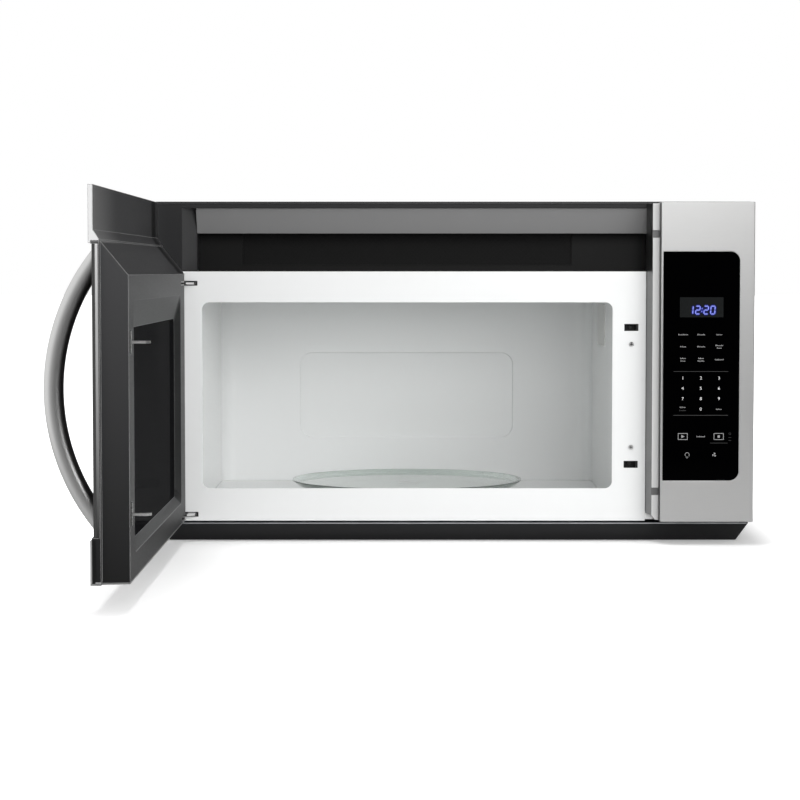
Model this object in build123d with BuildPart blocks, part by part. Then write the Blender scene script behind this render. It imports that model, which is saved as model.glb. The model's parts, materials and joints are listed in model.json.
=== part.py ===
"""Over-the-range microwave oven, standing on its flat base with the door open square.

Millimetres.  X runs to the viewer's right, Y from the door to the wall, Z up.
The origin is the middle of the base's underside.
"""
import math
import os

from build123d import *

os.makedirs("parts", exist_ok=True)

# ---------------------------------------------------------------- overall sizes
width = 760.0
depth = 410.0
base_height = 28.8              # underside to the bottom edge of door and panel
front_height = 405.5            # door and control panel
case_rise = 1.4                 # case top above the door's top edge
door_space = 42.0               # front face to the enamelled plate
sheet = 1.2                     # painted steel sheet
fit_gap = 0.3                   # between pieces that must not touch
running = 0.05                  # radial clearance of pins that turn

front_y = -depth / 2
back_y = depth / 2
plate_y = front_y + door_space
door_bottom_z = base_height
door_top_z = base_height + front_height
case_top_z = door_top_z + case_rise
case_x = width / 2

# ---------------------------------------------------------------- control panel
panel_width = 118.0
panel_left_x = case_x - panel_width
ledge_left_x = panel_left_x - 9.5   # step that the closed door's edge lies over
ledge_right_x = panel_left_x - 1.0
ledge_depth = 14.0
panel_foot_x = panel_left_x - 14.6  # where the side trim meets the enamelled plate
panel_sheet = 1.2
key_left_x = panel_left_x + 3.2
key_right_x = case_x - 18.7
key_bottom_z = door_bottom_z + 52.9
key_top_z = door_top_z - 62.9
key_radius = 12.0
key_glass = 3.0
key_gap = 0.2
display_left_x = key_left_x + 20.3
display_right_x = key_right_x - 21.5
display_bottom_z = key_top_z - 83.2
display_top_z = key_top_z - 57.1
groove_top_z = door_top_z - 40.3
groove_bottom_z = door_bottom_z + 37.7
groove_height = 9.5
groove_depth = 2.0

# ---------------------------------------------------------------- front plate and cavity
plate_thickness = 1.5
plate_back_y = plate_y + plate_thickness
plate_left_x = -case_x + 3.0
plate_right_x = panel_foot_x - 0.1
plate_bottom_z = door_bottom_z - 2.8
plate_top_z = door_top_z - 87.8
mouth_left_x = plate_left_x + 55.2
mouth_right_x = plate_right_x - 42.9
mouth_bottom_z = plate_bottom_z + 41.9
mouth_top_z = plate_top_z - 39.6
mouth_radius = 9.0
mouth_margin = 1.9              # cavity walls outside the mouth's edges
cavity_centre_x = (mouth_left_x + mouth_right_x) / 2
cavity_left_x = mouth_left_x - mouth_margin
cavity_right_x = mouth_right_x + mouth_margin
cavity_floor_z = mouth_bottom_z - 21.4
cavity_ceiling_z = mouth_top_z + 2.1
cavity_sheet = 1.2
cavity_rear_gap = 8.3           # air behind the cavity
cavity_back_y = back_y - sheet - cavity_rear_gap
cavity_back_radius = 20.0
emboss_side = 111.5             # cavity wall to the embossed panel of its back
emboss_low_z = cavity_floor_z + 60.8
emboss_high_z = cavity_ceiling_z - 77.7
emboss_depth = 3.0
emboss_radius = 18.0

# ---------------------------------------------------------------- base
base_rim_z = base_height - 6.8
base_side_slope = 14.0          # how far each side leans in towards the floor
base_front_slope = 10.0
base_front_y = plate_y + 2.0
lens_width = 96.0
lens_depth = 52.0
lens_thickness = 2.4
lens_centre_y = base_front_y + 51.0
filter_width = case_x - 100.0
filter_depth = 130.0
filter_thickness = 7.0
filter_centre_x = case_x / 2
filter_centre_y = lens_centre_y + (lens_depth + filter_depth) / 2 + 49.0
filter_lip = 5.0                # ledge of the base under the filter's edges

# ---------------------------------------------------------------- top vent
vent_pillar_right_x = -case_x + 33.0
vent_right_x = panel_left_x - 10.0
vent_cheek = 17.0               # how far the side cheeks close in towards the back
vent_cheek_run = 22.0
vent_right_wall = 6.0
vent_bottom_z = plate_top_z
vent_rail_z = door_top_z - 6.9  # underside of the top rail
case_front_fold = 3.1
vent_top_z = case_top_z - case_front_fold - 0.2
vent_depth = 60.0
vent_wall = 2.0
deflector_drop = 32.0
deflector_run = 18.0
deflector_setback = 6.0
deflector_sheet = 1.5
charcoal_margin = 43.1          # mouth's edge to the filter's edge
charcoal_thickness = 12.0
charcoal_bottom_z = vent_bottom_z + 5.5
charcoal_top_z = vent_rail_z - 19.4

# ---------------------------------------------------------------- door
door_depth = 39.1
door_left_x = -case_x + 0.4
door_right_x = panel_left_x - 4.0
door_width = door_right_x - door_left_x
hinge_inset = 14.0              # pivot from the door's hinge edge
hinge_setback = 16.0            # pivot behind the door's front face
hinge_x = door_left_x + hinge_inset
hinge_y = front_y + hinge_setback
hinge_edge_u = -hinge_inset
free_u = door_width - hinge_inset
inner_v = door_depth - hinge_setback
trim_skin = 1.5
trim_end = 1.2
flange_depth = 5.0
shoulder_depth = 11.0
shoulder_z = door_top_z - 56.5
shoulder_top_z = door_top_z - 45.5
lip_z = door_top_z - 59.0
lip_depth = 2.5
chamfer_end_z = door_top_z - 91.1
band_top_z = door_bottom_z + 45.8
glass_setback = 3.4
glass_thickness = 3.3
carrier_thickness = 2.7
glass_bottom_z = band_top_z + 2.4
glass_top_z = lip_z - 0.7
body_step = 8.0                 # the dark body stops short of the front at the free edge
body_slant = 4.0                # and leans in a little more towards its inner face
hinge_corner_radius = 8.0
recess_left_u = 47.0
recess_right_u = free_u - 56.6
recess_bottom_z = door_bottom_z + 27.2
recess_top_z = door_top_z - 117.3
recess_depth = 7.1
recess_slope = 15.0             # bezel between the recess's edge and the pane, at the sides
pane_left_u = recess_left_u + recess_slope
pane_right_u = recess_right_u - recess_slope - 2.0
pane_bottom_z = recess_bottom_z + 10.0
pane_top_z = recess_top_z - 29.0
pane_thickness = 2.0
pane_ledge = 6.0
pane_radius = 10.0
screen_thickness = 1.0
screen_margin = 8.0

# hinges
hinge_plate = 2.5
hinge_top_z = plate_top_z - 15.1
hinge_low_z = plate_bottom_z + 8.3
hinge_pin_radius = 2.5
hinge_pin_reach = 8.0
hinge_slot_height = 6.0
hinge_slot_left_x = plate_left_x + 32.3
hinge_slot_right_x = mouth_left_x - 5.9
hinge_clear = 1.0
hinge_boss_radius = 5.2
hinge_pocket_u = 38.0

# latch: slots in the plate, hooks and their upright pin in the door
slot_centre_x = plate_right_x - 18.6
slot_width = 18.1
slot_height = 9.0
slot_high_z = mouth_top_z - 32.1
slot_low_z = mouth_bottom_z + 30.8
screw_high_z = slot_high_z - 21.6
screw_low_z = slot_low_z + 22.1
latch_u = slot_centre_x - hinge_x
latch_pin_depth = 22.0          # behind the door's front face
latch_pin_radius = 1.5
latch_bar_radius = 4.0
latch_pocket_low_z = slot_low_z - 14.7
latch_pocket_high_z = slot_high_z + 25.2
latch_bar_low_z = latch_pocket_low_z + 2.0
latch_bar_high_z = latch_pocket_high_z - 2.0
latch_pocket_half = 10.5
latch_wall = 5.0
hook_reach = 20.0               # beyond the door's inner face
hook_half = 4.0
hook_nose = 1.5
hook_thickness = 2.6
hook_shield_half_z = 11.5
hook_shield_half_u = 1.5
hook_window_half_u = 7.0
hook_window_half_z = 12.5
board_thickness = 9.5
board_left_x = slot_centre_x - 14.7
board_right_x = slot_centre_x + 16.3
board_low_z = slot_low_z - 22.7
board_high_z = slot_high_z + 25.2
plunger_radius = 2.0
plunger_length = 11.0
plunger_reach = 3.0             # out of its switch
plunger_travel = 2.0
plunger_gap = 0.6               # between the closed door's hook and the plunger

# handle: a bow of round bar, its ends on the glass near the glass's top and bottom edges
handle_u = free_u - 37.6
handle_width = 19.0
handle_thickness = 20.0
handle_bow = 54.4               # from the glass to the outside of the bow
handle_half_height = (glass_top_z - glass_bottom_z) / 2 - 0.8
handle_centre_z = (glass_top_z + glass_bottom_z) / 2
handle_outer_radius = (handle_half_height**2 + handle_bow**2) / (2 * handle_bow)
handle_inner_radius = handle_outer_radius - handle_thickness
handle_centre_depth = glass_setback - handle_bow + handle_outer_radius
handle_round = 7.5
handle_screw_radius = 2.5
handle_screw_head = 4.5
handle_screw_head_height = 3.0
handle_screw_bite = 8.0
handle_screw_inset = 22.3       # from the handle's end
handle_screw_high_z = handle_centre_z + handle_half_height - handle_screw_inset
handle_screw_low_z = handle_centre_z - handle_half_height + handle_screw_inset

# ---------------------------------------------------------------- turntable
turntable_y = (plate_back_y + cavity_back_y) / 2
tray_radius = (cavity_back_y - plate_back_y) / 2 - 23.0
tray_bottom_z = cavity_floor_z + 10.0
tray_thickness = 4.0
tray_rim_height = 8.4
tray_rim_width = 9.0
tray_lug_radius = 2.5
roller_gap = 0.3
roller_width = 7.0
roller_count = 3
roller_axle_radius = 1.5
ring_radius = tray_radius - 57.5
ring_width = 9.0
ring_height = 4.0
axle_length = 13.0
hub_radius = 11.0
hub_lobe_radius = 5.0
hub_lobe_reach = 13.0
hub_height = 5.0
shaft_radius = 4.0
shaft_length = 14.0
motor_radius = 25.0
motor_height = 16.0
motor_flange = 1.5

# ---------------------------------------------------------------- blower
duct_height = case_top_z - sheet - plate_top_z
scroll_radius = (duct_height - 8.0) / 2
scroll_width = 92.0
scroll_gap = 74.0               # between the two scrolls, filled by the motor
scroll_sheet = 1.5
blower_x = cavity_centre_x
blower_y = back_y - 109.0
wheel_radius = scroll_radius - 8.0
wheel_width = 70.0
wheel_blades = 18
wheel_blade = 1.6
wheel_blade_length = 8.0
blower_shaft_radius = 4.0
blower_motor_radius = scroll_radius - 8.0
inlet_radius = scroll_radius - 15.0
mouth_low_z = charcoal_bottom_z
mouth_high_z = charcoal_top_z - 4.0

# ---------------------------------------------------------------- electronics bay
bay_x = cavity_right_x + cavity_sheet
bay_centre_x = (bay_x + case_x - sheet) / 2
guide_width = 20.0
guide_height = 56.0
guide_length = 112.0
guide_bottom_z = cavity_ceiling_z - 63.0
guide_front_y = turntable_y - 47.0
guide_centre_z = guide_bottom_z + guide_height / 2
magnetron_width = 82.0
magnetron_depth = 80.0
magnetron_height = 74.0
antenna_radius = 9.0
antenna_length = 12.0
antenna_inset = 32.0            # from the waveguide's rear end
antenna_y = guide_front_y + guide_length - antenna_inset
shroud_y = back_y - 73.0
fan_radius = 46.0
fan_blades = 5
fan_shaft_radius = 2.5
fan_centre_x = bay_centre_x
fan_centre_z = plate_top_z - 84.5
capacitor_radius = 17.0
capacitor_height = 92.0
capacitor_y = shroud_y - 44.0
transformer_width = 96.0
transformer_depth = 84.0
transformer_height = 78.0
transformer_y = capacitor_y - 71.0

# levels shared by several pieces
duct_floor_z = plate_top_z - sheet
chassis_z = base_rim_z
mouth_centre_z = (mouth_bottom_z + mouth_top_z) / 2


def front_view(y):
    """Upright plane facing the viewer, X across and Z up; extrude(-t) runs rearwards."""
    return Plane.XZ.offset(-y)


def side_view(x):
    """Upright plane facing right, Y across and Z up."""
    return Plane.YZ.offset(x)


def door_plan(z):
    """Level plane of the open door: x along its width, y from its face inwards."""
    return Plane(origin=(hinge_x, hinge_y, z), x_dir=(0, -1, 0), z_dir=(0, 0, 1))


def door_section(u):
    """Cross-section of the open door at u: x is behind the pivot, y is height."""
    return Plane(origin=(hinge_x, hinge_y - u, 0), x_dir=(1, 0, 0), z_dir=(0, -1, 0))


def door_elevation(v):
    """The open door's own face: x along its width, y is height; extrude(-t) goes inwards."""
    return Plane(origin=(hinge_x + v, hinge_y, 0), x_dir=(0, -1, 0), z_dir=(-1, 0, 0))


def at_depth(d):
    """Distance behind the door's front face, as a distance behind the pivot."""
    return d - hinge_setback


def rectangle_between(low_x, high_x, low_y, high_y):
    """A rectangle given by its edges, in the sketch being drawn."""
    with Locations(((low_x + high_x) / 2, (low_y + high_y) / 2)):
        Rectangle(high_x - low_x, high_y - low_y)


# ================================================================= CABINET
# Base pan: a tapered steel tray, with openings for two grease filters and the lamp lens.
with BuildPart() as base_pan:
    with BuildSketch(Plane.XY):
        rectangle_between(
            -case_x + base_side_slope,
            case_x - base_side_slope,
            base_front_y + base_front_slope,
            back_y,
        )
    with BuildSketch(Plane.XY.offset(base_rim_z)):
        rectangle_between(-case_x, case_x, base_front_y, back_y)
    loft()
    base_top = base_pan.faces().sort_by(Axis.Z)[-1]
    offset(amount=-sheet, openings=base_top)
    with BuildSketch(Plane.XY):
        with Locations((-filter_centre_x, filter_centre_y), (filter_centre_x, filter_centre_y)):
            Rectangle(filter_width - 2 * filter_lip, filter_depth - 2 * filter_lip)
        with Locations((0, lens_centre_y)):
            Rectangle(lens_width - 2 * filter_lip, lens_depth - 2 * filter_lip)
    extrude(amount=sheet, mode=Mode.SUBTRACT)
base_pan.part.label = "base_pan"
export_step(base_pan.part, "parts/base_pan.step")

# Chassis floor: the sheet over the air plenum that carries the electrical parts.
air_slot_length = 80.0
air_slot_width = 24.0
air_slot_inset = 50.0
with BuildPart() as chassis_floor:
    with BuildSketch(Plane.XY.offset(chassis_z)):
        rectangle_between(-case_x + sheet, case_x - sheet, plate_back_y, back_y - sheet)
        with Locations((cavity_centre_x, turntable_y)):
            Circle(motor_radius + sheet, mode=Mode.SUBTRACT)
        with Locations((0, filter_centre_y)):
            with GridLocations(width - 2 * air_slot_inset, 0, 2, 1):
                SlotOverall(air_slot_length, air_slot_width, rotation=90, mode=Mode.SUBTRACT)
    extrude(amount=sheet)
chassis_floor.part.label = "chassis_floor"
export_step(chassis_floor.part, "parts/chassis_floor.step")

# Side panels stand on the base's rim and are folded over at the front.
side_fold = 10.0
side_bottom_z = base_rim_z
side_top_z = case_top_z - sheet
for side, name in ((-1, "left_side_panel"), (1, "right_side_panel")):
    with BuildPart() as side_panel:
        with BuildSketch(Plane.XY.offset(side_bottom_z)):
            outer_x = side * case_x
            inner_x = side * (case_x - sheet)
            rectangle_between(
                min(outer_x, inner_x), max(outer_x, inner_x), plate_y, back_y - sheet
            )
        extrude(amount=side_top_z - side_bottom_z)
        fold_x = side * (case_x - sheet - side_fold)
        with BuildSketch(Plane.XY.offset(chassis_z + sheet)):
            rectangle_between(
                min(fold_x, inner_x), max(fold_x, inner_x), plate_back_y, plate_back_y + sheet
            )
        extrude(amount=duct_floor_z - chassis_z - sheet)
    side_panel.part.label = name
    export_step(side_panel.part, f"parts/{name}.step")

# Rear plate: closes the back from the base's rim to the case top.
tab_slot_spacing = 600.0         # slots for the tabs of the wall plate
tab_slot_length = 40.0
tab_slot_height = 6.0
tab_slot_z = 60.0
with BuildPart() as rear_plate:
    with BuildSketch(front_view(back_y - sheet)):
        rectangle_between(-case_x, case_x, base_rim_z, side_top_z)
        with Locations((0, tab_slot_z)):
            with GridLocations(tab_slot_spacing, 0, 2, 1):
                Rectangle(tab_slot_length, tab_slot_height, mode=Mode.SUBTRACT)
    extrude(amount=-sheet)
rear_plate.part.label = "rear_plate"
export_step(rear_plate.part, "parts/rear_plate.step")

# Case top: with a folded front edge, two bolt holes and the cord hole.
bolt_spacing = 610.0
bolt_y = back_y - 145.0
bolt_radius = 2.6
bolt_boss_radius = 8.0
bolt_boss_height = 8.0
cord_x = case_x - 60.0
cord_y = back_y - 55.0
cord_hole_radius = 8.0
cord_bore_radius = 5.0
with BuildPart() as case_top:
    with BuildSketch(Plane.XY.offset(case_top_z - sheet)):
        rectangle_between(-case_x, case_x, plate_y, back_y)
        with Locations((0, bolt_y)):
            with GridLocations(bolt_spacing, 0, 2, 1):
                Circle(bolt_radius, mode=Mode.SUBTRACT)
        with Locations((cord_x, cord_y)):
            Circle(cord_hole_radius, mode=Mode.SUBTRACT)
    extrude(amount=sheet)
    with BuildSketch(front_view(plate_y)):
        rectangle_between(
            -case_x + sheet, case_x - sheet, case_top_z - case_front_fold, case_top_z - sheet
        )
    extrude(amount=-sheet)
    # weld nuts take the bolts that come down through the cabinet
    with BuildSketch(Plane.XY.offset(case_top_z - sheet)):
        with Locations((0, bolt_y)):
            with GridLocations(bolt_spacing, 0, 2, 1):
                Circle(bolt_boss_radius)
                Circle(bolt_radius, mode=Mode.SUBTRACT)
    extrude(amount=-bolt_boss_height)
case_top.part.label = "case_top"
export_step(case_top.part, "parts/case_top.step")

# Rubber grommet that lines the cord's hole.
grommet_flange = 2.0
with BuildPart() as cord_grommet:
    with BuildSketch(Plane.XY.offset(case_top_z - sheet - grommet_flange)):
        with Locations((cord_x, cord_y)):
            Circle(cord_hole_radius + 2 * grommet_flange)
            Circle(cord_bore_radius, mode=Mode.SUBTRACT)
    extrude(amount=grommet_flange)
    with BuildSketch(Plane.XY.offset(case_top_z - sheet)):
        with Locations((cord_x, cord_y)):
            Circle(cord_hole_radius)
            Circle(cord_bore_radius, mode=Mode.SUBTRACT)
    extrude(amount=sheet)
cord_grommet.part.label = "cord_grommet"
export_step(cord_grommet.part, "parts/cord_grommet.step")

# Duct floor: the sheet between the oven and the air passage above it.
with BuildPart() as duct_floor:
    with BuildSketch(Plane.XY.offset(duct_floor_z)):
        rectangle_between(-case_x + sheet, case_x - sheet, plate_back_y, back_y - sheet)
    extrude(amount=sheet)
duct_floor.part.label = "duct_floor"
export_step(duct_floor.part, "parts/duct_floor.step")

# Enamelled front plate: cavity mouth, latch slots, hinge slots and screw holes.
board_screw_radius = 2.2
board_screw_head = 3.2
board_screw_bite = 6.0
with BuildPart() as front_plate:
    with BuildSketch(front_view(plate_back_y)):
        rectangle_between(plate_left_x, plate_right_x, plate_bottom_z, plate_top_z)
        with Locations((cavity_centre_x, mouth_centre_z)):
            RectangleRounded(
                mouth_right_x - mouth_left_x,
                mouth_top_z - mouth_bottom_z,
                mouth_radius,
                mode=Mode.SUBTRACT,
            )
        with Locations((slot_centre_x, slot_high_z), (slot_centre_x, slot_low_z)):
            Rectangle(slot_width, slot_height, mode=Mode.SUBTRACT)
        hinge_slot_x = (hinge_slot_left_x + hinge_slot_right_x) / 2
        with Locations((hinge_slot_x, hinge_top_z), (hinge_slot_x, hinge_low_z)):
            Rectangle(
                hinge_slot_right_x - hinge_slot_left_x, hinge_slot_height, mode=Mode.SUBTRACT
            )
        with Locations((slot_centre_x, screw_high_z), (slot_centre_x, screw_low_z)):
            Circle(board_screw_radius, mode=Mode.SUBTRACT)
    extrude(amount=plate_thickness)
front_plate.part.label = "front_plate"
export_step(front_plate.part, "parts/front_plate.step")

# Cavity: a flat floor, a flat ceiling, and walls bent from one sheet with an embossed back.
lamp_side = 150.0
lamp_forward = 60.0
lamp_x = cavity_centre_x + lamp_side
lamp_y = turntable_y - lamp_forward
shaft_clear = 2.0
feed_length = 40.0               # opening of the waveguide in the cavity's wall
feed_height = guide_height - 16.0
emboss_centre_z = (emboss_low_z + emboss_high_z) / 2
emboss_width = cavity_right_x - cavity_left_x - 2 * emboss_side


def cavity_outline(z, growth):
    """Plan of the cavity, open at the front and rounded at its back corners."""
    with BuildSketch(Plane.XY.offset(z), mode=Mode.PRIVATE) as outline:
        rectangle_between(
            cavity_left_x - growth,
            cavity_right_x + growth,
            plate_back_y,
            cavity_back_y + growth,
        )
        fillet(outline.vertices().group_by(Axis.Y)[-1], cavity_back_radius + growth)
    return outline.sketch


with BuildPart() as cavity_floor:
    extrude(cavity_outline(cavity_floor_z - cavity_sheet, cavity_sheet), amount=cavity_sheet)
    with BuildSketch(Plane.XY.offset(cavity_floor_z - cavity_sheet)):
        with Locations((cavity_centre_x, turntable_y)):
            Circle(shaft_radius + shaft_clear)
    extrude(amount=cavity_sheet, mode=Mode.SUBTRACT)
cavity_floor.part.label = "cavity_floor"
export_step(cavity_floor.part, "parts/cavity_floor.step")

with BuildPart() as cavity_ceiling:
    extrude(cavity_outline(cavity_ceiling_z, cavity_sheet), amount=cavity_sheet)
cavity_ceiling.part.label = "cavity_ceiling"
export_step(cavity_ceiling.part, "parts/cavity_ceiling.step")

with BuildPart() as cavity_walls:
    wall_height = cavity_ceiling_z - cavity_floor_z
    extrude(cavity_outline(cavity_floor_z, cavity_sheet), amount=wall_height)
    extrude(cavity_outline(cavity_floor_z, 0), amount=wall_height, mode=Mode.SUBTRACT)
    with BuildSketch(front_view(cavity_back_y + cavity_sheet)):
        with Locations((cavity_centre_x, emboss_centre_z)):
            RectangleRounded(emboss_width, emboss_high_z - emboss_low_z, emboss_radius)
    extrude(amount=-emboss_depth)
    with BuildSketch(front_view(cavity_back_y)):
        with Locations((cavity_centre_x, emboss_centre_z)):
            RectangleRounded(
                emboss_width - 2 * cavity_sheet,
                emboss_high_z - emboss_low_z - 2 * cavity_sheet,
                emboss_radius - cavity_sheet,
            )
    extrude(amount=-emboss_depth, mode=Mode.SUBTRACT)
    with BuildSketch(side_view(cavity_right_x)):
        with Locations((antenna_y, guide_centre_z)):
            Rectangle(feed_length, feed_height)
    extrude(amount=cavity_sheet, mode=Mode.SUBTRACT)
cavity_walls.part.label = "cavity_walls"
export_step(cavity_walls.part, "parts/cavity_walls.step")

# Mica sheet over the waveguide's mouth, inside the cavity.
mica = 1.0
with BuildPart() as waveguide_cover:
    with BuildSketch(side_view(cavity_right_x)):
        rectangle_between(
            guide_front_y,
            guide_front_y + guide_length,
            guide_bottom_z,
            guide_bottom_z + guide_height,
        )
    extrude(amount=-mica)
waveguide_cover.part.label = "waveguide_cover"
export_step(waveguide_cover.part, "parts/waveguide_cover.step")

# Waveguide: a steel box on the outside of the cavity's wall.
guide_edge = 4.0
antenna_clear = 2.0
with BuildPart() as waveguide:
    with BuildSketch(side_view(bay_x)):
        rectangle_between(
            guide_front_y + guide_edge,
            guide_front_y + guide_length - guide_edge,
            guide_bottom_z + guide_edge,
            guide_bottom_z + guide_height - guide_edge,
        )
    extrude(amount=guide_width)
    offset(amount=-sheet, openings=waveguide.faces().sort_by(Axis.X)[0])
    with BuildSketch(side_view(bay_x + guide_width)):
        with Locations((antenna_y, guide_centre_z)):
            Circle(antenna_radius + antenna_clear)
    extrude(amount=-sheet, mode=Mode.SUBTRACT)
waveguide.part.label = "waveguide"
export_step(waveguide.part, "parts/waveguide.step")

# Magnetron: mounting plate, antenna in the waveguide, yoke with cooling fins, filter box.
fin_count = 6
fin_thickness = 1.0
yoke = 2.5
magnetron_x = bay_x + guide_width
anode_radius = 20.0
with BuildPart() as magnetron:
    with BuildSketch(side_view(magnetron_x)):
        with Locations((antenna_y, guide_centre_z)):
            Rectangle(magnetron_depth, magnetron_height)
    extrude(amount=yoke)
    with BuildSketch(side_view(magnetron_x)):
        with Locations((antenna_y, guide_centre_z)):
            Circle(antenna_radius)
    extrude(amount=-antenna_length)
    with BuildSketch(side_view(magnetron_x + yoke)):
        with Locations((antenna_y, guide_centre_z)):
            Circle(anode_radius)
    extrude(amount=magnetron_width - 2 * yoke)
    fin_pitch = (magnetron_width - 2 * yoke) / (fin_count + 2)
    for fin in range(1, fin_count + 1):
        with BuildSketch(side_view(magnetron_x + yoke + fin * fin_pitch)):
            with Locations((antenna_y, guide_centre_z)):
                Rectangle(magnetron_depth - 2 * yoke, magnetron_height - 2 * yoke)
        extrude(amount=fin_thickness)
    with BuildSketch(side_view(magnetron_x + magnetron_width - yoke)):
        with Locations((antenna_y, guide_centre_z)):
            Rectangle(magnetron_depth, magnetron_height)
    extrude(amount=yoke)
    for side in (-1, 1):
        with BuildSketch(side_view(magnetron_x + yoke)):
            with Locations((antenna_y, guide_centre_z + side * (magnetron_height - yoke) / 2)):
                Rectangle(magnetron_depth, yoke)
        extrude(amount=magnetron_width - 2 * yoke)
magnetron.part.label = "magnetron"
export_step(magnetron.part, "parts/magnetron.step")

# High-voltage transformer: laminated core with two windings on a foot plate.
foot = 2.0
foot_rim = 8.0
winding_reach = 10.0
winding_width = 72.0
winding_height = 28.0
board_z = chassis_z + sheet
with BuildPart() as transformer:
    with BuildSketch(Plane.XY.offset(board_z)):
        with Locations((bay_centre_x, transformer_y)):
            Rectangle(transformer_width + 2 * foot_rim, transformer_depth - 2 * winding_reach)
    extrude(amount=foot)
    with BuildSketch(Plane.XY.offset(board_z + foot)):
        with Locations((bay_centre_x, transformer_y)):
            Rectangle(transformer_width, transformer_depth - 2 * winding_reach)
    extrude(amount=transformer_height - foot)
    for level in (0.28, 0.7):
        with BuildSketch(Plane.XY.offset(board_z + transformer_height * level)):
            with Locations((bay_centre_x, transformer_y)):
                RectangleRounded(winding_width, transformer_depth, winding_reach)
        extrude(amount=winding_height / 2, both=True)
transformer.part.label = "transformer"
export_step(transformer.part, "parts/transformer.step")

# High-voltage capacitor: an oval can with two tabs.
tab_spacing = 22.0
tab_width = 6.0
tab_height = 9.0
with BuildPart() as capacitor:
    with BuildSketch(Plane.XY.offset(board_z)):
        with Locations((bay_centre_x, capacitor_y)):
            SlotOverall(capacitor_radius * 3, capacitor_radius * 2)
    extrude(amount=capacitor_height)
    with BuildSketch(Plane.XY.offset(board_z + capacitor_height)):
        with Locations((bay_centre_x, capacitor_y)):
            with GridLocations(tab_spacing, 0, 2, 1):
                Rectangle(sheet, tab_width)
    extrude(amount=tab_height)
capacitor.part.label = "capacitor"
export_step(capacitor.part, "parts/capacitor.step")

# Cavity lamp: a lamp holder over the perforated patch of the ceiling.
lamp_box = 44.0
lamp_height = 24.0
lamp_wall = 2.0
lamp_bulb_radius = 9.0
lamp_bulb_length = 16.0
lamp_bulb_taper = 8.0
lamp_bottom_z = cavity_ceiling_z + cavity_sheet
with BuildPart() as cavity_lamp:
    with BuildSketch(Plane.XY.offset(lamp_bottom_z)):
        with Locations((lamp_x, lamp_y)):
            Rectangle(lamp_box, lamp_box)
    extrude(amount=lamp_height)
    offset(amount=-lamp_wall, openings=cavity_lamp.faces().sort_by(Axis.Z)[0])
    with BuildSketch(Plane.XY.offset(lamp_bottom_z + lamp_height - lamp_wall)):
        with Locations((lamp_x, lamp_y)):
            Circle(lamp_bulb_radius)
    extrude(amount=-lamp_bulb_length, taper=lamp_bulb_taper)
cavity_lamp.part.label = "cavity_lamp"
export_step(cavity_lamp.part, "parts/cavity_lamp.step")

# Cooktop lamp and its lens in the base.
with BuildPart() as lamp_lens:
    with BuildSketch(Plane.XY.offset(sheet)):
        with Locations((0, lens_centre_y)):
            Rectangle(lens_width, lens_depth)
    extrude(amount=lens_thickness)
lamp_lens.part.label = "lamp_lens"
export_step(lamp_lens.part, "parts/lamp_lens.step")

socket_length = 76.0
socket_width = 22.0
socket_height = 3.0
bulb_radius = 6.0
bulb_length = 48.0
with BuildPart() as cooktop_lamp:
    with BuildSketch(Plane.XY.offset(chassis_z)):
        with Locations((0, lens_centre_y)):
            Rectangle(socket_length, socket_width)
    extrude(amount=-socket_height)
    with BuildSketch(side_view(-bulb_length / 2)):
        with Locations((lens_centre_y, chassis_z - socket_height - bulb_radius / 2)):
            Circle(bulb_radius)
    extrude(amount=bulb_length)
cooktop_lamp.part.label = "cooktop_lamp"
export_step(cooktop_lamp.part, "parts/cooktop_lamp.step")

# Grease filters: aluminium frames with a fine mesh, resting on the base's ledges.
mesh_thickness = 3.0
mesh_rim = 8.0
mesh_rib = 3.0
filter_corner = 6.0
for side, name in ((-1, "left_grease_filter"), (1, "right_grease_filter")):
    with BuildPart() as grease_filter:
        with BuildSketch(Plane.XY.offset(sheet)):
            with Locations((side * filter_centre_x, filter_centre_y)):
                RectangleRounded(filter_width, filter_depth, filter_corner)
        extrude(amount=filter_thickness)
        for cut_z in (sheet, sheet + (filter_thickness + mesh_thickness) / 2):
            with BuildSketch(Plane.XY.offset(cut_z)):
                with Locations((side * filter_centre_x, filter_centre_y)):
                    Rectangle(filter_width - 2 * mesh_rim, filter_depth - 2 * mesh_rim)
            extrude(amount=(filter_thickness - mesh_thickness) / 2, mode=Mode.SUBTRACT)
        with BuildSketch(Plane.XY.offset(sheet)):
            with Locations((side * filter_centre_x, filter_centre_y)):
                with GridLocations(filter_width / 4, 0, 3, 1):
                    Rectangle(mesh_rib, filter_depth - 2 * mesh_rim)
        extrude(amount=filter_thickness)
    grease_filter.part.label = name
    export_step(grease_filter.part, f"parts/{name}.step")

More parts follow.
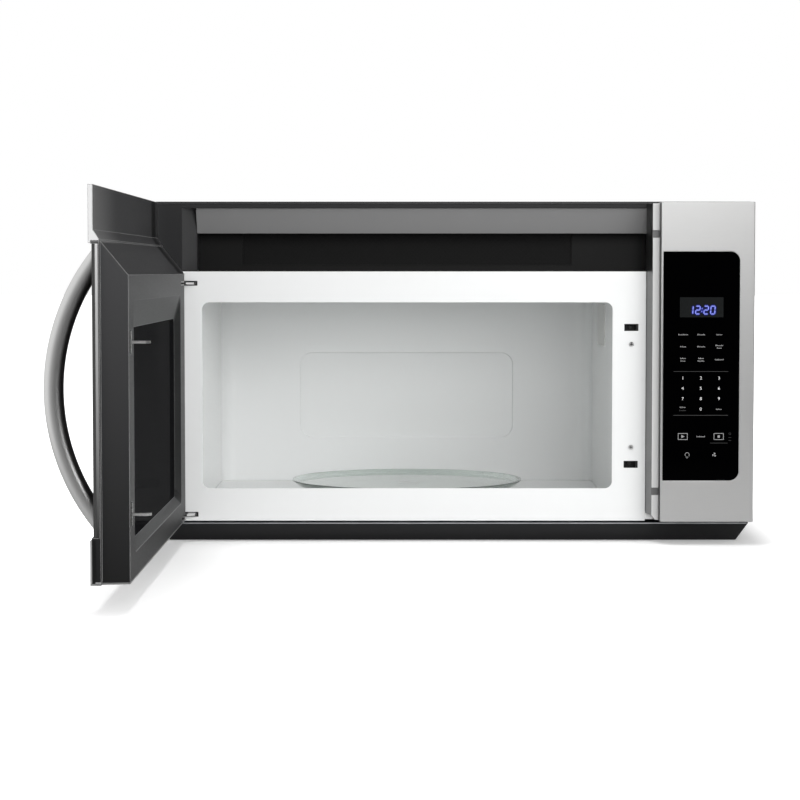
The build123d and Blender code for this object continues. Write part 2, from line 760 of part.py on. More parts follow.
# ----------------------------------------------------------------- top vent
vent_floor_z = vent_bottom_z + sheet
vent_left_back_x = vent_pillar_right_x + vent_cheek
charcoal_width = mouth_right_x - mouth_left_x - 2 * charcoal_margin
charcoal_height = charcoal_top_z - charcoal_bottom_z
charcoal_lap = 6.0
with BuildPart() as vent_frame:
    with BuildSketch(Plane.XY.offset(vent_bottom_z)):
        rectangle_between(
            -case_x + sheet, vent_right_x + vent_right_wall, plate_y, plate_y + vent_depth
        )
    extrude(amount=vent_top_z - vent_bottom_z)
    with BuildSketch(Plane.XY.offset(vent_floor_z)):
        with BuildLine():
            Polyline(
                (vent_pillar_right_x, plate_y),
                (vent_right_x, plate_y),
                (vent_right_x, plate_y + vent_depth - vent_wall),
                (vent_left_back_x, plate_y + vent_depth - vent_wall),
                (vent_left_back_x, plate_y + vent_cheek_run),
                close=True,
            )
        make_face()
    extrude(amount=vent_rail_z - vent_floor_z, mode=Mode.SUBTRACT)
    with BuildSketch(Plane.XY.offset(vent_bottom_z)):
        rectangle_between(
            -case_x + sheet + vent_wall,
            vent_pillar_right_x - vent_wall,
            plate_y + vent_wall,
            plate_y + vent_depth,
        )
    extrude(amount=vent_top_z - vent_bottom_z - vent_wall, mode=Mode.SUBTRACT)
    with BuildSketch(front_view(plate_y + vent_depth)):
        with Locations((cavity_centre_x, charcoal_bottom_z + charcoal_height / 2)):
            Rectangle(charcoal_width - 2 * charcoal_lap, charcoal_height - charcoal_lap)
    extrude(amount=vent_wall, mode=Mode.SUBTRACT)
vent_frame.part.label = "vent_frame"
export_step(vent_frame.part, "parts/vent_frame.step")

# Deflector: the grey sheet that leans back under the vent's top rail.
with BuildPart() as vent_deflector:
    deflector_top_y = plate_y + deflector_setback
    with BuildSketch(side_view(vent_left_back_x + fit_gap)):
        with BuildLine():
            Polyline(
                (deflector_top_y, vent_rail_z),
                (deflector_top_y + deflector_sheet, vent_rail_z),
                (
                    deflector_top_y + deflector_run + deflector_sheet,
                    vent_rail_z - deflector_drop,
                ),
                (deflector_top_y + deflector_run, vent_rail_z - deflector_drop),
                close=True,
            )
        make_face()
    extrude(amount=vent_right_x - vent_left_back_x - fit_gap)
vent_deflector.part.label = "vent_deflector"
export_step(vent_deflector.part, "parts/vent_deflector.step")

# Charcoal filter behind the vent's window.
charcoal_y = plate_y + vent_depth
with BuildPart() as charcoal_filter:
    with BuildSketch(front_view(charcoal_y)):
        with Locations((cavity_centre_x, charcoal_bottom_z + charcoal_height / 2)):
            Rectangle(charcoal_width, charcoal_height)
    extrude(amount=-charcoal_thickness)
charcoal_filter.part.label = "charcoal_filter"
export_step(charcoal_filter.part, "parts/charcoal_filter.step")

# ----------------------------------------------------------------- blower
scroll_centre_z = duct_floor_z + sheet + scroll_radius
scroll_mouth_y = charcoal_y + charcoal_thickness
scroll_offset = (scroll_gap + scroll_width) / 2
strap_depth = 30.0
with BuildPart() as blower_housing:
    for side in (-1, 1):
        scroll_left_x = blower_x + side * scroll_offset - scroll_width / 2
        with BuildSketch(side_view(scroll_left_x)):
            with Locations((blower_y, scroll_centre_z)):
                Circle(scroll_radius)
            rectangle_between(scroll_mouth_y, blower_y, mouth_low_z, mouth_high_z)
        extrude(amount=scroll_width)
        with BuildSketch(side_view(scroll_left_x + scroll_sheet)):
            with Locations((blower_y, scroll_centre_z)):
                Circle(scroll_radius - scroll_sheet)
            rectangle_between(
                scroll_mouth_y,
                blower_y,
                mouth_low_z + scroll_sheet,
                mouth_high_z - scroll_sheet,
            )
        extrude(amount=scroll_width - 2 * scroll_sheet, mode=Mode.SUBTRACT)
        with BuildSketch(side_view(scroll_left_x)):
            with Locations((blower_y, scroll_centre_z)):
                Circle(inlet_radius)
        extrude(amount=scroll_width, mode=Mode.SUBTRACT)
    # strap across the two mouths
    with BuildSketch(Plane.XY.offset(mouth_high_z - scroll_sheet)):
        rectangle_between(
            blower_x - scroll_gap / 2 - scroll_sheet,
            blower_x + scroll_gap / 2 + scroll_sheet,
            scroll_mouth_y,
            scroll_mouth_y + strap_depth,
        )
    extrude(amount=scroll_sheet)
blower_housing.part.label = "blower_housing"
export_step(blower_housing.part, "parts/blower_housing.step")

# Blower motor between the scrolls, with a foot on the duct floor.
with BuildPart() as blower_motor:
    with BuildSketch(side_view(blower_x - scroll_gap / 2)):
        with Locations((blower_y, scroll_centre_z)):
            Circle(blower_motor_radius)
            Circle(blower_shaft_radius + running, mode=Mode.SUBTRACT)
    extrude(amount=scroll_gap)
    with BuildSketch(Plane.XY.offset(duct_floor_z + sheet)):
        with Locations((blower_x, blower_y)):
            Rectangle(scroll_gap / 2, blower_motor_radius)
    extrude(amount=scroll_radius - blower_motor_radius / 2)
blower_motor.part.label = "blower_motor"
export_step(blower_motor.part, "parts/blower_motor.step")

# Blower rotor: one shaft with a squirrel-cage wheel in each scroll.
wheel_web = 2.0
wheel_blade_angle = 35.0
shaft_end = scroll_gap / 2 + (scroll_width + wheel_width) / 2
with BuildPart() as blower_rotor:
    with BuildSketch(side_view(blower_x - shaft_end)):
        with Locations((blower_y, scroll_centre_z)):
            Circle(blower_shaft_radius)
    extrude(amount=2 * shaft_end)
    for side in (-1, 1):
        wheel_left_x = blower_x + side * scroll_offset - wheel_width / 2
        web_x = blower_x + side * scroll_offset - wheel_web / 2
        with BuildSketch(side_view(web_x)):
            with Locations((blower_y, scroll_centre_z)):
                Circle(wheel_radius - wheel_blade_length / 2)
        extrude(amount=wheel_web)
        with BuildSketch(side_view(wheel_left_x)):
            with Locations((blower_y, scroll_centre_z)):
                with PolarLocations(wheel_radius - wheel_blade_length / 2, wheel_blades):
                    Rectangle(wheel_blade_length, wheel_blade, rotation=wheel_blade_angle)
        extrude(amount=wheel_width)
        for ring_x in (wheel_left_x, wheel_left_x + wheel_width - wheel_web):
            with BuildSketch(side_view(ring_x)):
                with Locations((blower_y, scroll_centre_z)):
                    Circle(wheel_radius)
                    Circle(wheel_radius - wheel_blade_length / 2, mode=Mode.SUBTRACT)
            extrude(amount=wheel_web)
blower_rotor.part.label = "blower_rotor"
export_step(blower_rotor.part, "parts/blower_rotor.step")

# ----------------------------------------------------------------- cooling fan
shroud_gap = 3.0
shroud_lip = 8.0
fan_clear = fan_radius + shroud_gap
fan_hub_radius = 11.0
fan_hub_length = 14.0
fan_root_chord = 10.0
fan_tip_chord = 28.0
fan_root_pitch = 45.0            # between the blade and the fan's axis
fan_tip_pitch = 66.0
fan_blade_sheet = 1.4
with BuildPart() as fan_shroud:
    with BuildSketch(front_view(shroud_y)):
        rectangle_between(bay_x + fit_gap, case_x - sheet, chassis_z + sheet, duct_floor_z)
        with Locations((fan_centre_x, fan_centre_z)):
            Circle(fan_clear, mode=Mode.SUBTRACT)
    extrude(amount=-sheet)
    with BuildSketch(front_view(shroud_y)):
        with Locations((fan_centre_x, fan_centre_z)):
            Circle(fan_clear + sheet)
            Circle(fan_clear, mode=Mode.SUBTRACT)
    extrude(amount=shroud_lip)
fan_shroud.part.label = "fan_shroud"
export_step(fan_shroud.part, "parts/fan_shroud.step")

fan_motor_gap = 9.0
fan_motor_y = shroud_y + fan_hub_length / 2 + fan_motor_gap
fan_motor_size = 46.0
fan_motor_length = 30.0
fan_arm_width = 12.0
fan_arm_sheet = 2.0
with BuildPart() as fan_motor:
    with BuildSketch(front_view(fan_motor_y)):
        with Locations((fan_centre_x, fan_centre_z)):
            Rectangle(fan_motor_size, fan_motor_size)
            Circle(fan_shaft_radius + running, mode=Mode.SUBTRACT)
    extrude(amount=-fan_motor_length)
    arm_span = 2 * fan_clear + fan_arm_width
    with BuildSketch(front_view(fan_motor_y)):
        with Locations((fan_centre_x, fan_centre_z)):
            Rectangle(arm_span, fan_arm_width)
            Circle(fan_shaft_radius + running, mode=Mode.SUBTRACT)
    extrude(amount=-fan_arm_sheet)
    with BuildSketch(front_view(shroud_y + sheet)):
        with Locations((fan_centre_x, fan_centre_z)):
            with GridLocations(arm_span - 2 * fan_arm_sheet, 0, 2, 1):
                Rectangle(2 * fan_arm_sheet, fan_arm_width)
    extrude(amount=-(fan_motor_y + fan_arm_sheet - shroud_y - sheet))
fan_motor.part.label = "fan_motor"
export_step(fan_motor.part, "parts/fan_motor.step")

with BuildPart() as cooling_fan:
    with BuildSketch(front_view(shroud_y - fan_hub_length / 2)):
        with Locations((fan_centre_x, fan_centre_z)):
            Circle(fan_hub_radius)
    extrude(amount=-fan_hub_length)
    with BuildSketch(front_view(shroud_y - fan_hub_length / 2)):
        with Locations((fan_centre_x, fan_centre_z)):
            Circle(fan_shaft_radius)
    extrude(amount=-(fan_motor_y + fan_motor_length / 2 - shroud_y))
    fan_centre = Vector(fan_centre_x, shroud_y, fan_centre_z)
    for blade in range(fan_blades):
        angle = math.radians(blade * 360 / fan_blades)
        outward = Vector(math.cos(angle), 0, math.sin(angle))
        for reach, chord, pitch in (
            (fan_hub_radius - fan_blade_sheet, fan_root_chord, fan_root_pitch),
            (fan_radius, fan_tip_chord, fan_tip_pitch),
        ):
            with BuildSketch(
                Plane(origin=fan_centre + outward * reach, x_dir=(0, -1, 0), z_dir=outward)
            ):
                Rectangle(chord, fan_blade_sheet, rotation=pitch)
        loft()
cooling_fan.part.label = "cooling_fan"
export_step(cooling_fan.part, "parts/cooling_fan.step")

# ================================================================= CONTROL PANEL
panel_inner_left_x = panel_left_x + panel_sheet
panel_inner_right_x = case_x - panel_sheet
panel_inner_bottom_z = door_bottom_z + panel_sheet
panel_inner_top_z = door_top_z - panel_sheet
key_back_y = front_y + key_gap + key_glass
key_centre_z = (key_bottom_z + key_top_z) / 2


def key_outline(clearance):
    """Outline of the touch glass: square at its left, rounded at its right."""
    with BuildSketch(front_view(key_back_y), mode=Mode.PRIVATE) as outline:
        rectangle_between(
            key_left_x - clearance,
            key_right_x + clearance,
            key_bottom_z - clearance,
            key_top_z + clearance,
        )
        fillet(outline.vertices().group_by(Axis.X)[-1], key_radius + clearance)
    return outline.sketch


# Stainless bezel: a folded box open at the back, with the touch glass's window.
with BuildPart() as control_bezel:
    with BuildSketch(front_view(front_y)):
        rectangle_between(panel_left_x, case_x, door_bottom_z, door_top_z)
    extrude(amount=-door_space)
    offset(amount=-panel_sheet, openings=control_bezel.faces().sort_by(Axis.Y)[-1])
    extrude(key_outline(key_gap), amount=2 * key_glass, mode=Mode.SUBTRACT)
control_bezel.part.label = "control_bezel"
export_step(control_bezel.part, "parts/control_bezel.step")

with BuildPart() as touch_glass:
    extrude(key_outline(0), amount=key_glass)
touch_glass.part.label = "touch_glass"
export_step(touch_glass.part, "parts/touch_glass.step")

# Moulded housing inside the bezel: seat for the glass, display window, circuit board posts.
housing_wall = 2.0
post_radius = 3.0
post_inset = 8.0
board_setback = 20.0
board_y = front_y + board_setback
board_bottom_z = door_bottom_z + 31.2
board_top_z = door_top_z - 34.3
with BuildPart() as panel_housing:
    with BuildSketch(front_view(front_y + panel_sheet)):
        rectangle_between(
            panel_inner_left_x, panel_inner_right_x, panel_inner_bottom_z, panel_inner_top_z
        )
    extrude(amount=-(door_space - panel_sheet))
    with BuildSketch(front_view(key_back_y + housing_wall)):
        rectangle_between(
            panel_inner_left_x + housing_wall,
            panel_inner_right_x - housing_wall,
            panel_inner_bottom_z + housing_wall,
            panel_inner_top_z - housing_wall,
        )
    extrude(amount=-door_space, mode=Mode.SUBTRACT)
    extrude(key_outline(key_gap), amount=key_glass, mode=Mode.SUBTRACT)
    with BuildSketch(front_view(key_back_y)):
        rectangle_between(display_left_x, display_right_x, display_bottom_z, display_top_z)
    extrude(amount=-housing_wall, mode=Mode.SUBTRACT)
    post_low_z = board_bottom_z + post_inset
    post_high_z = board_top_z - post_inset
    post_left_x = panel_inner_left_x + housing_wall + post_inset
    post_right_x = panel_inner_right_x - housing_wall - post_inset
    with BuildSketch(front_view(key_back_y + housing_wall)):
        with Locations(
            (post_left_x, post_low_z),
            (post_right_x, post_low_z),
            (post_left_x, post_high_z),
            (post_right_x, post_high_z),
        ):
            Circle(post_radius)
    extrude(amount=-(board_y - key_back_y - housing_wall))
panel_housing.part.label = "panel_housing"
export_step(panel_housing.part, "parts/panel_housing.step")

# Circuit board: relays, capacitors and the display, which looks through the window.
board = 1.6
board_edge = 3.0
relay_size = 28.0
relay_height = 14.0
relay_pitch = 40.0
relay_count = 2
display_rim = 3.0
with BuildPart() as control_board:
    with BuildSketch(front_view(board_y)):
        rectangle_between(
            panel_inner_left_x + housing_wall + board_edge,
            panel_inner_right_x - housing_wall - board_edge,
            board_bottom_z,
            board_top_z,
        )
    extrude(amount=-board)
    board_centre_x = (panel_inner_left_x + panel_inner_right_x) / 2
    with BuildSketch(front_view(board_y + board)):
        with Locations((board_centre_x, board_bottom_z + 3 * relay_size)):
            with GridLocations(0, relay_pitch, 1, relay_count):
                Rectangle(relay_size, relay_size)
        with Locations((board_centre_x, board_top_z - relay_size)):
            with GridLocations(relay_pitch, 0, 2, 1):
                Circle(relay_size / 4)
    extrude(amount=-relay_height)
    with BuildSketch(front_view(board_y)):
        rectangle_between(
            display_left_x - display_rim,
            display_right_x + display_rim,
            display_bottom_z - display_rim,
            display_top_z + display_rim,
        )
    extrude(amount=board_y - key_back_y - housing_wall)
    with BuildSketch(front_view(key_back_y + housing_wall)):
        rectangle_between(
            display_left_x + key_gap,
            display_right_x - key_gap,
            display_bottom_z + key_gap,
            display_top_z - key_gap,
        )
    extrude(amount=housing_wall)
control_board.part.label = "control_board"
export_step(control_board.part, "parts/control_board.step")

# Side trim: the stepped strip beside the panel that the closed door's edge lies over.
trim_foot_z = door_bottom_z + 1.2
trim_head_z = door_top_z - 1.3
trim_setback = 3.0
foot_rise = 6.0
foot_run = 4.5
with BuildPart() as panel_side_trim:
    with BuildSketch(Plane.XY.offset(trim_foot_z)):
        with BuildLine():
            Polyline(
                (panel_left_x, front_y + trim_setback),
                (panel_left_x, plate_y),
                (panel_foot_x, plate_y),
                (ledge_left_x, front_y + ledge_depth),
                (ledge_right_x, front_y + ledge_depth),
                (ledge_right_x, front_y + trim_setback),
                close=True,
            )
        make_face()
    extrude(amount=trim_head_z - trim_foot_z)
    for groove_z in (groove_top_z, groove_bottom_z):
        with BuildSketch(front_view(front_y + ledge_depth + groove_depth)):
            rectangle_between(
                panel_foot_x,
                ledge_right_x,
                groove_z - groove_height / 2,
                groove_z + groove_height / 2,
            )
        extrude(amount=groove_depth, mode=Mode.SUBTRACT)
    with BuildSketch(front_view(plate_y)):
        with BuildLine():
            Polyline(
                (panel_foot_x, trim_foot_z),
                (ledge_left_x + foot_run, trim_foot_z),
                (ledge_left_x, trim_foot_z + foot_rise),
                (panel_foot_x, trim_foot_z + foot_rise),
                close=True,
            )
        make_face()
    extrude(amount=door_space, mode=Mode.SUBTRACT)
panel_side_trim.part.label = "panel_side_trim"
export_step(panel_side_trim.part, "parts/panel_side_trim.step")

# ================================================================= DOOR
body_left_u = hinge_edge_u + trim_end
body_right_u = free_u - trim_end
carrier_back = glass_setback + glass_thickness + carrier_thickness
body_bottom_z = door_bottom_z + trim_skin
window_left_u = pane_left_u + pane_ledge
window_right_u = pane_right_u - pane_ledge
window_bottom_z = pane_bottom_z + pane_ledge
window_top_z = pane_top_z - pane_ledge
pane_back = door_depth - recess_depth
pane_front = pane_back - pane_thickness
corner_inset = 1 - math.sqrt(0.5)


def door_outline(plan_z, left_u, right_u, front_d, back_d):
    """Plan of the door, stepped at its free edge and rounded at its hinge corner."""
    with BuildSketch(door_plan(plan_z), mode=Mode.PRIVATE) as outline:
        with BuildLine():
            Polyline(
                (left_u, at_depth(back_d) - hinge_corner_radius),
                (left_u, at_depth(front_d)),
                (right_u, at_depth(front_d)),
                (right_u, at_depth(shoulder_depth)),
                (right_u - body_step, at_depth(shoulder_depth)),
                (right_u - body_step - body_slant, at_depth(back_d)),
                (left_u + hinge_corner_radius, at_depth(back_d)),
            )
            ThreePointArc(
                (left_u + hinge_corner_radius, at_depth(back_d)),
                (
                    left_u + hinge_corner_radius * corner_inset,
                    at_depth(back_d) - hinge_corner_radius * corner_inset,
                ),
                (left_u, at_depth(back_d) - hinge_corner_radius),
            )
        make_face()
    return outline.sketch


# Door body: the dark moulding that everything in the door is fixed to.
with BuildPart() as door_body:
    with BuildSketch(door_section(body_left_u)):
        with BuildLine():
            Polyline(
                (at_depth(trim_skin), door_top_z),
                (at_depth(flange_depth), door_top_z),
                (at_depth(flange_depth), shoulder_top_z),
                (at_depth(shoulder_depth), shoulder_z + trim_skin),
                (at_depth(shoulder_depth), shoulder_z),
                (at_depth(door_depth), chamfer_end_z),
                (at_depth(door_depth), body_bottom_z),
                (at_depth(trim_skin), body_bottom_z),
                (at_depth(trim_skin), glass_bottom_z),
                (at_depth(carrier_back), glass_bottom_z),
                (at_depth(carrier_back), glass_top_z),
                (at_depth(lip_depth), glass_top_z),
                (at_depth(lip_depth), shoulder_z),
                (at_depth(trim_skin), shoulder_z),
                close=True,
            )
        make_face()
    extrude(amount=body_right_u - body_left_u)
    extrude(
        door_outline(body_bottom_z, body_left_u, body_right_u, trim_skin, door_depth),
        amount=door_top_z - body_bottom_z,
        mode=Mode.INTERSECT,
    )
    # window, with a ledge for the pane and a bezel that slopes in from the inner face
    with BuildSketch(door_elevation(at_depth(pane_front))):
        rectangle_between(window_left_u, window_right_u, window_bottom_z, window_top_z)
    extrude(amount=pane_front - carrier_back, mode=Mode.SUBTRACT)
    with BuildSketch(door_elevation(at_depth(pane_back))) as pane_seat:
        rectangle_between(pane_left_u, pane_right_u, pane_bottom_z, pane_top_z)
        fillet(pane_seat.vertices(), pane_radius)
    extrude(amount=pane_thickness, mode=Mode.SUBTRACT)
    with BuildSketch(door_elevation(at_depth(pane_back))) as bezel_inside:
        rectangle_between(pane_left_u, pane_right_u, pane_bottom_z, pane_top_z)
        fillet(bezel_inside.vertices(), pane_radius)
    with BuildSketch(door_elevation(at_depth(door_depth))) as bezel_outside:
        rectangle_between(recess_left_u, recess_right_u, recess_bottom_z, recess_top_z)
        fillet(bezel_outside.vertices(), pane_radius)
    loft(mode=Mode.SUBTRACT)
    # seat of the metal screen
    with BuildSketch(door_elevation(at_depth(carrier_back + screen_thickness))):
        rectangle_between(
            window_left_u - screen_margin,
            window_right_u + screen_margin,
            window_bottom_z - screen_margin,
            window_top_z + screen_margin,
        )
    extrude(amount=screen_thickness, mode=Mode.SUBTRACT)
    # pocket of the latch, its two hook windows and its pin's seats
    with BuildSketch(door_elevation(at_depth(door_depth - latch_wall))):
        rectangle_between(
            latch_u - latch_pocket_half,
            latch_u + latch_pocket_half,
            latch_pocket_low_z,
            latch_pocket_high_z,
        )
    extrude(amount=door_depth - latch_wall - carrier_back, mode=Mode.SUBTRACT)
    with BuildSketch(door_elevation(at_depth(door_depth))):
        with Locations((latch_u, slot_high_z), (latch_u, slot_low_z)):
            Rectangle(2 * hook_window_half_u, 2 * hook_window_half_z)
    extrude(amount=latch_wall, mode=Mode.SUBTRACT)
    with BuildSketch(door_plan(latch_pocket_low_z - latch_wall)):
        with Locations((latch_u, at_depth(latch_pin_depth))):
            Circle(latch_pin_radius)
    extrude(
        amount=latch_pocket_high_z - latch_pocket_low_z + 2 * latch_wall, mode=Mode.SUBTRACT
    )
    # wells over the heads of the handle's screws
    with BuildSketch(door_elevation(at_depth(carrier_back))):
        with Locations((handle_u, handle_screw_high_z), (handle_u, handle_screw_low_z)):
            Circle(handle_screw_head + hinge_clear)
    extrude(amount=-(handle_screw_head_height + hinge_clear), mode=Mode.SUBTRACT)
    # hinge pockets, open at the end and the inner face, and the bores of the pins
    for hinge_z in (hinge_top_z, hinge_low_z):
        with BuildSketch(door_plan(hinge_z - hinge_plate / 2 - hinge_clear)):
            rectangle_between(
                hinge_edge_u,
                hinge_pocket_u,
                -hinge_boss_radius - hinge_clear,
                inner_v + hinge_clear,
            )
        extrude(amount=hinge_plate + 2 * hinge_clear, mode=Mode.SUBTRACT)
    bore_depth = hinge_pin_reach + fit_gap
    with BuildSketch(door_plan(hinge_top_z - hinge_plate / 2 - hinge_clear)):
        Circle(hinge_pin_radius + running)
    extrude(amount=-bore_depth, mode=Mode.SUBTRACT)
    with BuildSketch(door_plan(hinge_low_z + hinge_plate / 2 + hinge_clear)):
        Circle(hinge_pin_radius + running)
    extrude(amount=bore_depth, mode=Mode.SUBTRACT)
door_body.part.label = "door_body"
export_step(door_body.part, "parts/door_body.step")

# Stainless top trim: front skin with a lower lip and closed ends.
with BuildPart() as door_top_trim:
    with BuildSketch(door_section(hinge_edge_u)):
        with BuildLine():
            Polyline(
                (at_depth(0), lip_z),
                (at_depth(lip_depth), lip_z),
                (at_depth(lip_depth), shoulder_z),
                (at_depth(trim_skin), shoulder_z),
                (at_depth(trim_skin), door_top_z),
                (at_depth(0), door_top_z),
                close=True,
            )
        make_face()
    extrude(amount=door_width)
    for end_u in (hinge_edge_u, free_u - trim_end):
        with BuildSketch(door_section(end_u)):
            with BuildLine():
                Polyline(
                    (at_depth(0), lip_z),
                    (at_depth(lip_depth), lip_z),
                    (at_depth(lip_depth), shoulder_z),
                    (at_depth(shoulder_depth), shoulder_z),
                    (at_depth(shoulder_depth), shoulder_z + trim_skin),
                    (at_depth(flange_depth), shoulder_top_z),
                    (at_depth(flange_depth), door_top_z),
                    (at_depth(0), door_top_z),
                    close=True,
                )
            make_face()
        extrude(amount=trim_end)
door_top_trim.part.label = "door_top_trim"
export_step(door_top_trim.part, "parts/door_top_trim.step")

# Stainless bottom trim: front band that folds under the door, with short closed ends.
with BuildPart() as door_bottom_trim:
    with BuildSketch(door_section(hinge_edge_u)):
        rectangle_between(at_depth(0), at_depth(trim_skin), door_bottom_z, band_top_z)
    extrude(amount=door_width)
    extrude(door_outline(door_bottom_z, hinge_edge_u, free_u, 0, door_depth), amount=trim_skin)
    for end_u in (hinge_edge_u, free_u - trim_end):
        with BuildSketch(door_section(end_u)):
            rectangle_between(at_depth(0), at_depth(flange_depth), door_bottom_z, band_top_z)
        extrude(amount=trim_end)
door_bottom_trim.part.label = "door_bottom_trim"
export_step(door_bottom_trim.part, "parts/door_bottom_trim.step")

# Outer glass, full width between the trims, with the handle's screw holes.
screw_clear = 0.2
with BuildPart() as door_glass:
    with BuildSketch(door_elevation(at_depth(glass_setback))):
        rectangle_between(body_left_u, body_right_u, glass_bottom_z, glass_top_z)
        with Locations((handle_u, handle_screw_high_z), (handle_u, handle_screw_low_z)):
            Circle(handle_screw_radius + screw_clear, mode=Mode.SUBTRACT)
    extrude(amount=-glass_thickness)
door_glass.part.label = "door_glass"
export_step(door_glass.part, "parts/door_glass.step")

# Bright steel carrier behind the glass.
with BuildPart() as glass_carrier:
    with BuildSketch(door_elevation(at_depth(glass_setback + glass_thickness))):
        rectangle_between(body_left_u, body_right_u, glass_bottom_z, glass_top_z)
        with Locations(
            (
                (window_left_u + window_right_u) / 2,
                (window_bottom_z + window_top_z) / 2,
            )
        ):
            RectangleRounded(
                window_right_u - window_left_u,
                window_top_z - window_bottom_z,
                pane_radius,
                mode=Mode.SUBTRACT,
            )
        with Locations((handle_u, handle_screw_high_z), (handle_u, handle_screw_low_z)):
            Circle(handle_screw_radius + screw_clear, mode=Mode.SUBTRACT)
    extrude(amount=-carrier_thickness)
glass_carrier.part.label = "glass_carrier"
export_step(glass_carrier.part, "parts/glass_carrier.step")

# Screen of perforated steel that keeps the microwaves in; its fine holes are a finish.
with BuildPart() as door_screen:
    with BuildSketch(door_elevation(at_depth(carrier_back))):
        rectangle_between(
            window_left_u - screen_margin,
            window_right_u + screen_margin,
            window_bottom_z - screen_margin,
            window_top_z + screen_margin,
        )
    extrude(amount=-screen_thickness)
door_screen.part.label = "door_screen"
export_step(door_screen.part, "parts/door_screen.step")

# Inner pane in its rebate.
with BuildPart() as inner_pane:
    with BuildSketch(door_elevation(at_depth(pane_front))) as pane_face:
        rectangle_between(pane_left_u, pane_right_u, pane_bottom_z, pane_top_z)
        fillet(pane_face.vertices(), pane_radius)
    extrude(amount=-pane_thickness)
inner_pane.part.label = "inner_pane"
export_step(inner_pane.part, "parts/inner_pane.step")

# Handle: a bowed bar whose ends stand square on the glass.
with BuildPart() as handle:
    with BuildSketch(door_section(handle_u - handle_width / 2)):
        with Locations((at_depth(handle_centre_depth), handle_centre_z)):
            Circle(handle_outer_radius)
            Circle(handle_inner_radius, mode=Mode.SUBTRACT)
        with Locations((at_depth(glass_setback) - handle_outer_radius / 2, handle_centre_z)):
            Rectangle(handle_outer_radius, 2 * handle_outer_radius, mode=Mode.INTERSECT)
    extrude(amount=handle_width)
    fillet(handle.edges().filter_by(GeomType.CIRCLE), handle_round)
    with BuildSketch(door_elevation(at_depth(glass_setback))):
        with Locations((handle_u, handle_screw_high_z), (handle_u, handle_screw_low_z)):
            Circle(handle_screw_radius)
    extrude(amount=handle_screw_bite, mode=Mode.SUBTRACT)
handle.part.label = "handle"
export_step(handle.part, "parts/handle.step")

with BuildPart() as handle_screws:
    with BuildSketch(door_elevation(at_depth(carrier_back))):
        with Locations((handle_u, handle_screw_high_z), (handle_u, handle_screw_low_z)):
            Circle(handle_screw_radius)
    extrude(amount=carrier_back - glass_setback + handle_screw_bite)
    with BuildSketch(door_elevation(at_depth(carrier_back))):
        with Locations((handle_u, handle_screw_high_z), (handle_u, handle_screw_low_z)):
            Circle(handle_screw_head)
    extrude(amount=-handle_screw_head_height)
handle_screws.part.label = "handle_screws"
export_step(handle_screws.part, "parts/handle_screws.step")

hook_shield_proud = 1.0

# Latch: a bar on an upright pin that carries two flat hooks and their shields.
with BuildPart() as door_latch:
    with BuildSketch(door_plan(latch_bar_low_z)):
        with Locations((latch_u, at_depth(latch_pin_depth))):
            Circle(latch_bar_radius)
    extrude(amount=latch_bar_high_z - latch_bar_low_z)
    hook_tip = door_depth + hook_reach
    for hook_z in (slot_high_z, slot_low_z):
        with BuildSketch(door_plan(hook_z - hook_thickness / 2)):
            with BuildLine():
                Polyline(
                    (latch_u - hook_half, at_depth(latch_pin_depth)),
                    (latch_u - hook_half, at_depth(hook_tip)),
                    (latch_u, at_depth(hook_tip)),
                    (latch_u + hook_half + hook_nose, at_depth(hook_tip - hook_half)),
                    (latch_u + hook_half + hook_nose, at_depth(hook_tip - 2 * hook_half)),
                    (latch_u + hook_half, at_depth(hook_tip - 2 * hook_half)),
                    (latch_u + hook_half, at_depth(latch_pin_depth)),
                    close=True,
                )
            make_face()
        extrude(amount=hook_thickness)
        with BuildSketch(door_plan(hook_z - hook_shield_half_z)):
            rectangle_between(
                latch_u - hook_shield_half_u,
                latch_u + hook_shield_half_u,
                at_depth(latch_pin_depth),
                at_depth(door_depth + hook_shield_proud),
            )
        extrude(amount=2 * hook_shield_half_z)
    with BuildSketch(door_plan(latch_bar_low_z)):
        with Locations((latch_u, at_depth(latch_pin_depth))):
            Circle(latch_pin_radius + running)
    extrude(amount=latch_bar_high_z - latch_bar_low_z, mode=Mode.SUBTRACT)
door_latch.part.label = "door_latch"
export_step(door_latch.part, "parts/door_latch.step")

with BuildPart() as latch_pin:
    with BuildSketch(door_plan(latch_pocket_low_z - latch_wall)):
        with Locations((latch_u, at_depth(latch_pin_depth))):
            Circle(latch_pin_radius)
    extrude(amount=latch_pocket_high_z - latch_pocket_low_z + 2 * latch_wall)
latch_pin.part.label = "latch_pin"
export_step(latch_pin.part, "parts/latch_pin.step")

# ================================================================= HINGES AND LATCH BOARD
hinge_arm_radius = 6.4
hinge_arm_x = (hinge_slot_left_x + hinge_slot_right_x) / 2
flange_left_x = hinge_x + 2 * hinge_plate
flange_right_x = cavity_left_x - cavity_sheet - hinge_clear
flange_short = 8.0
flange_long = 30.0
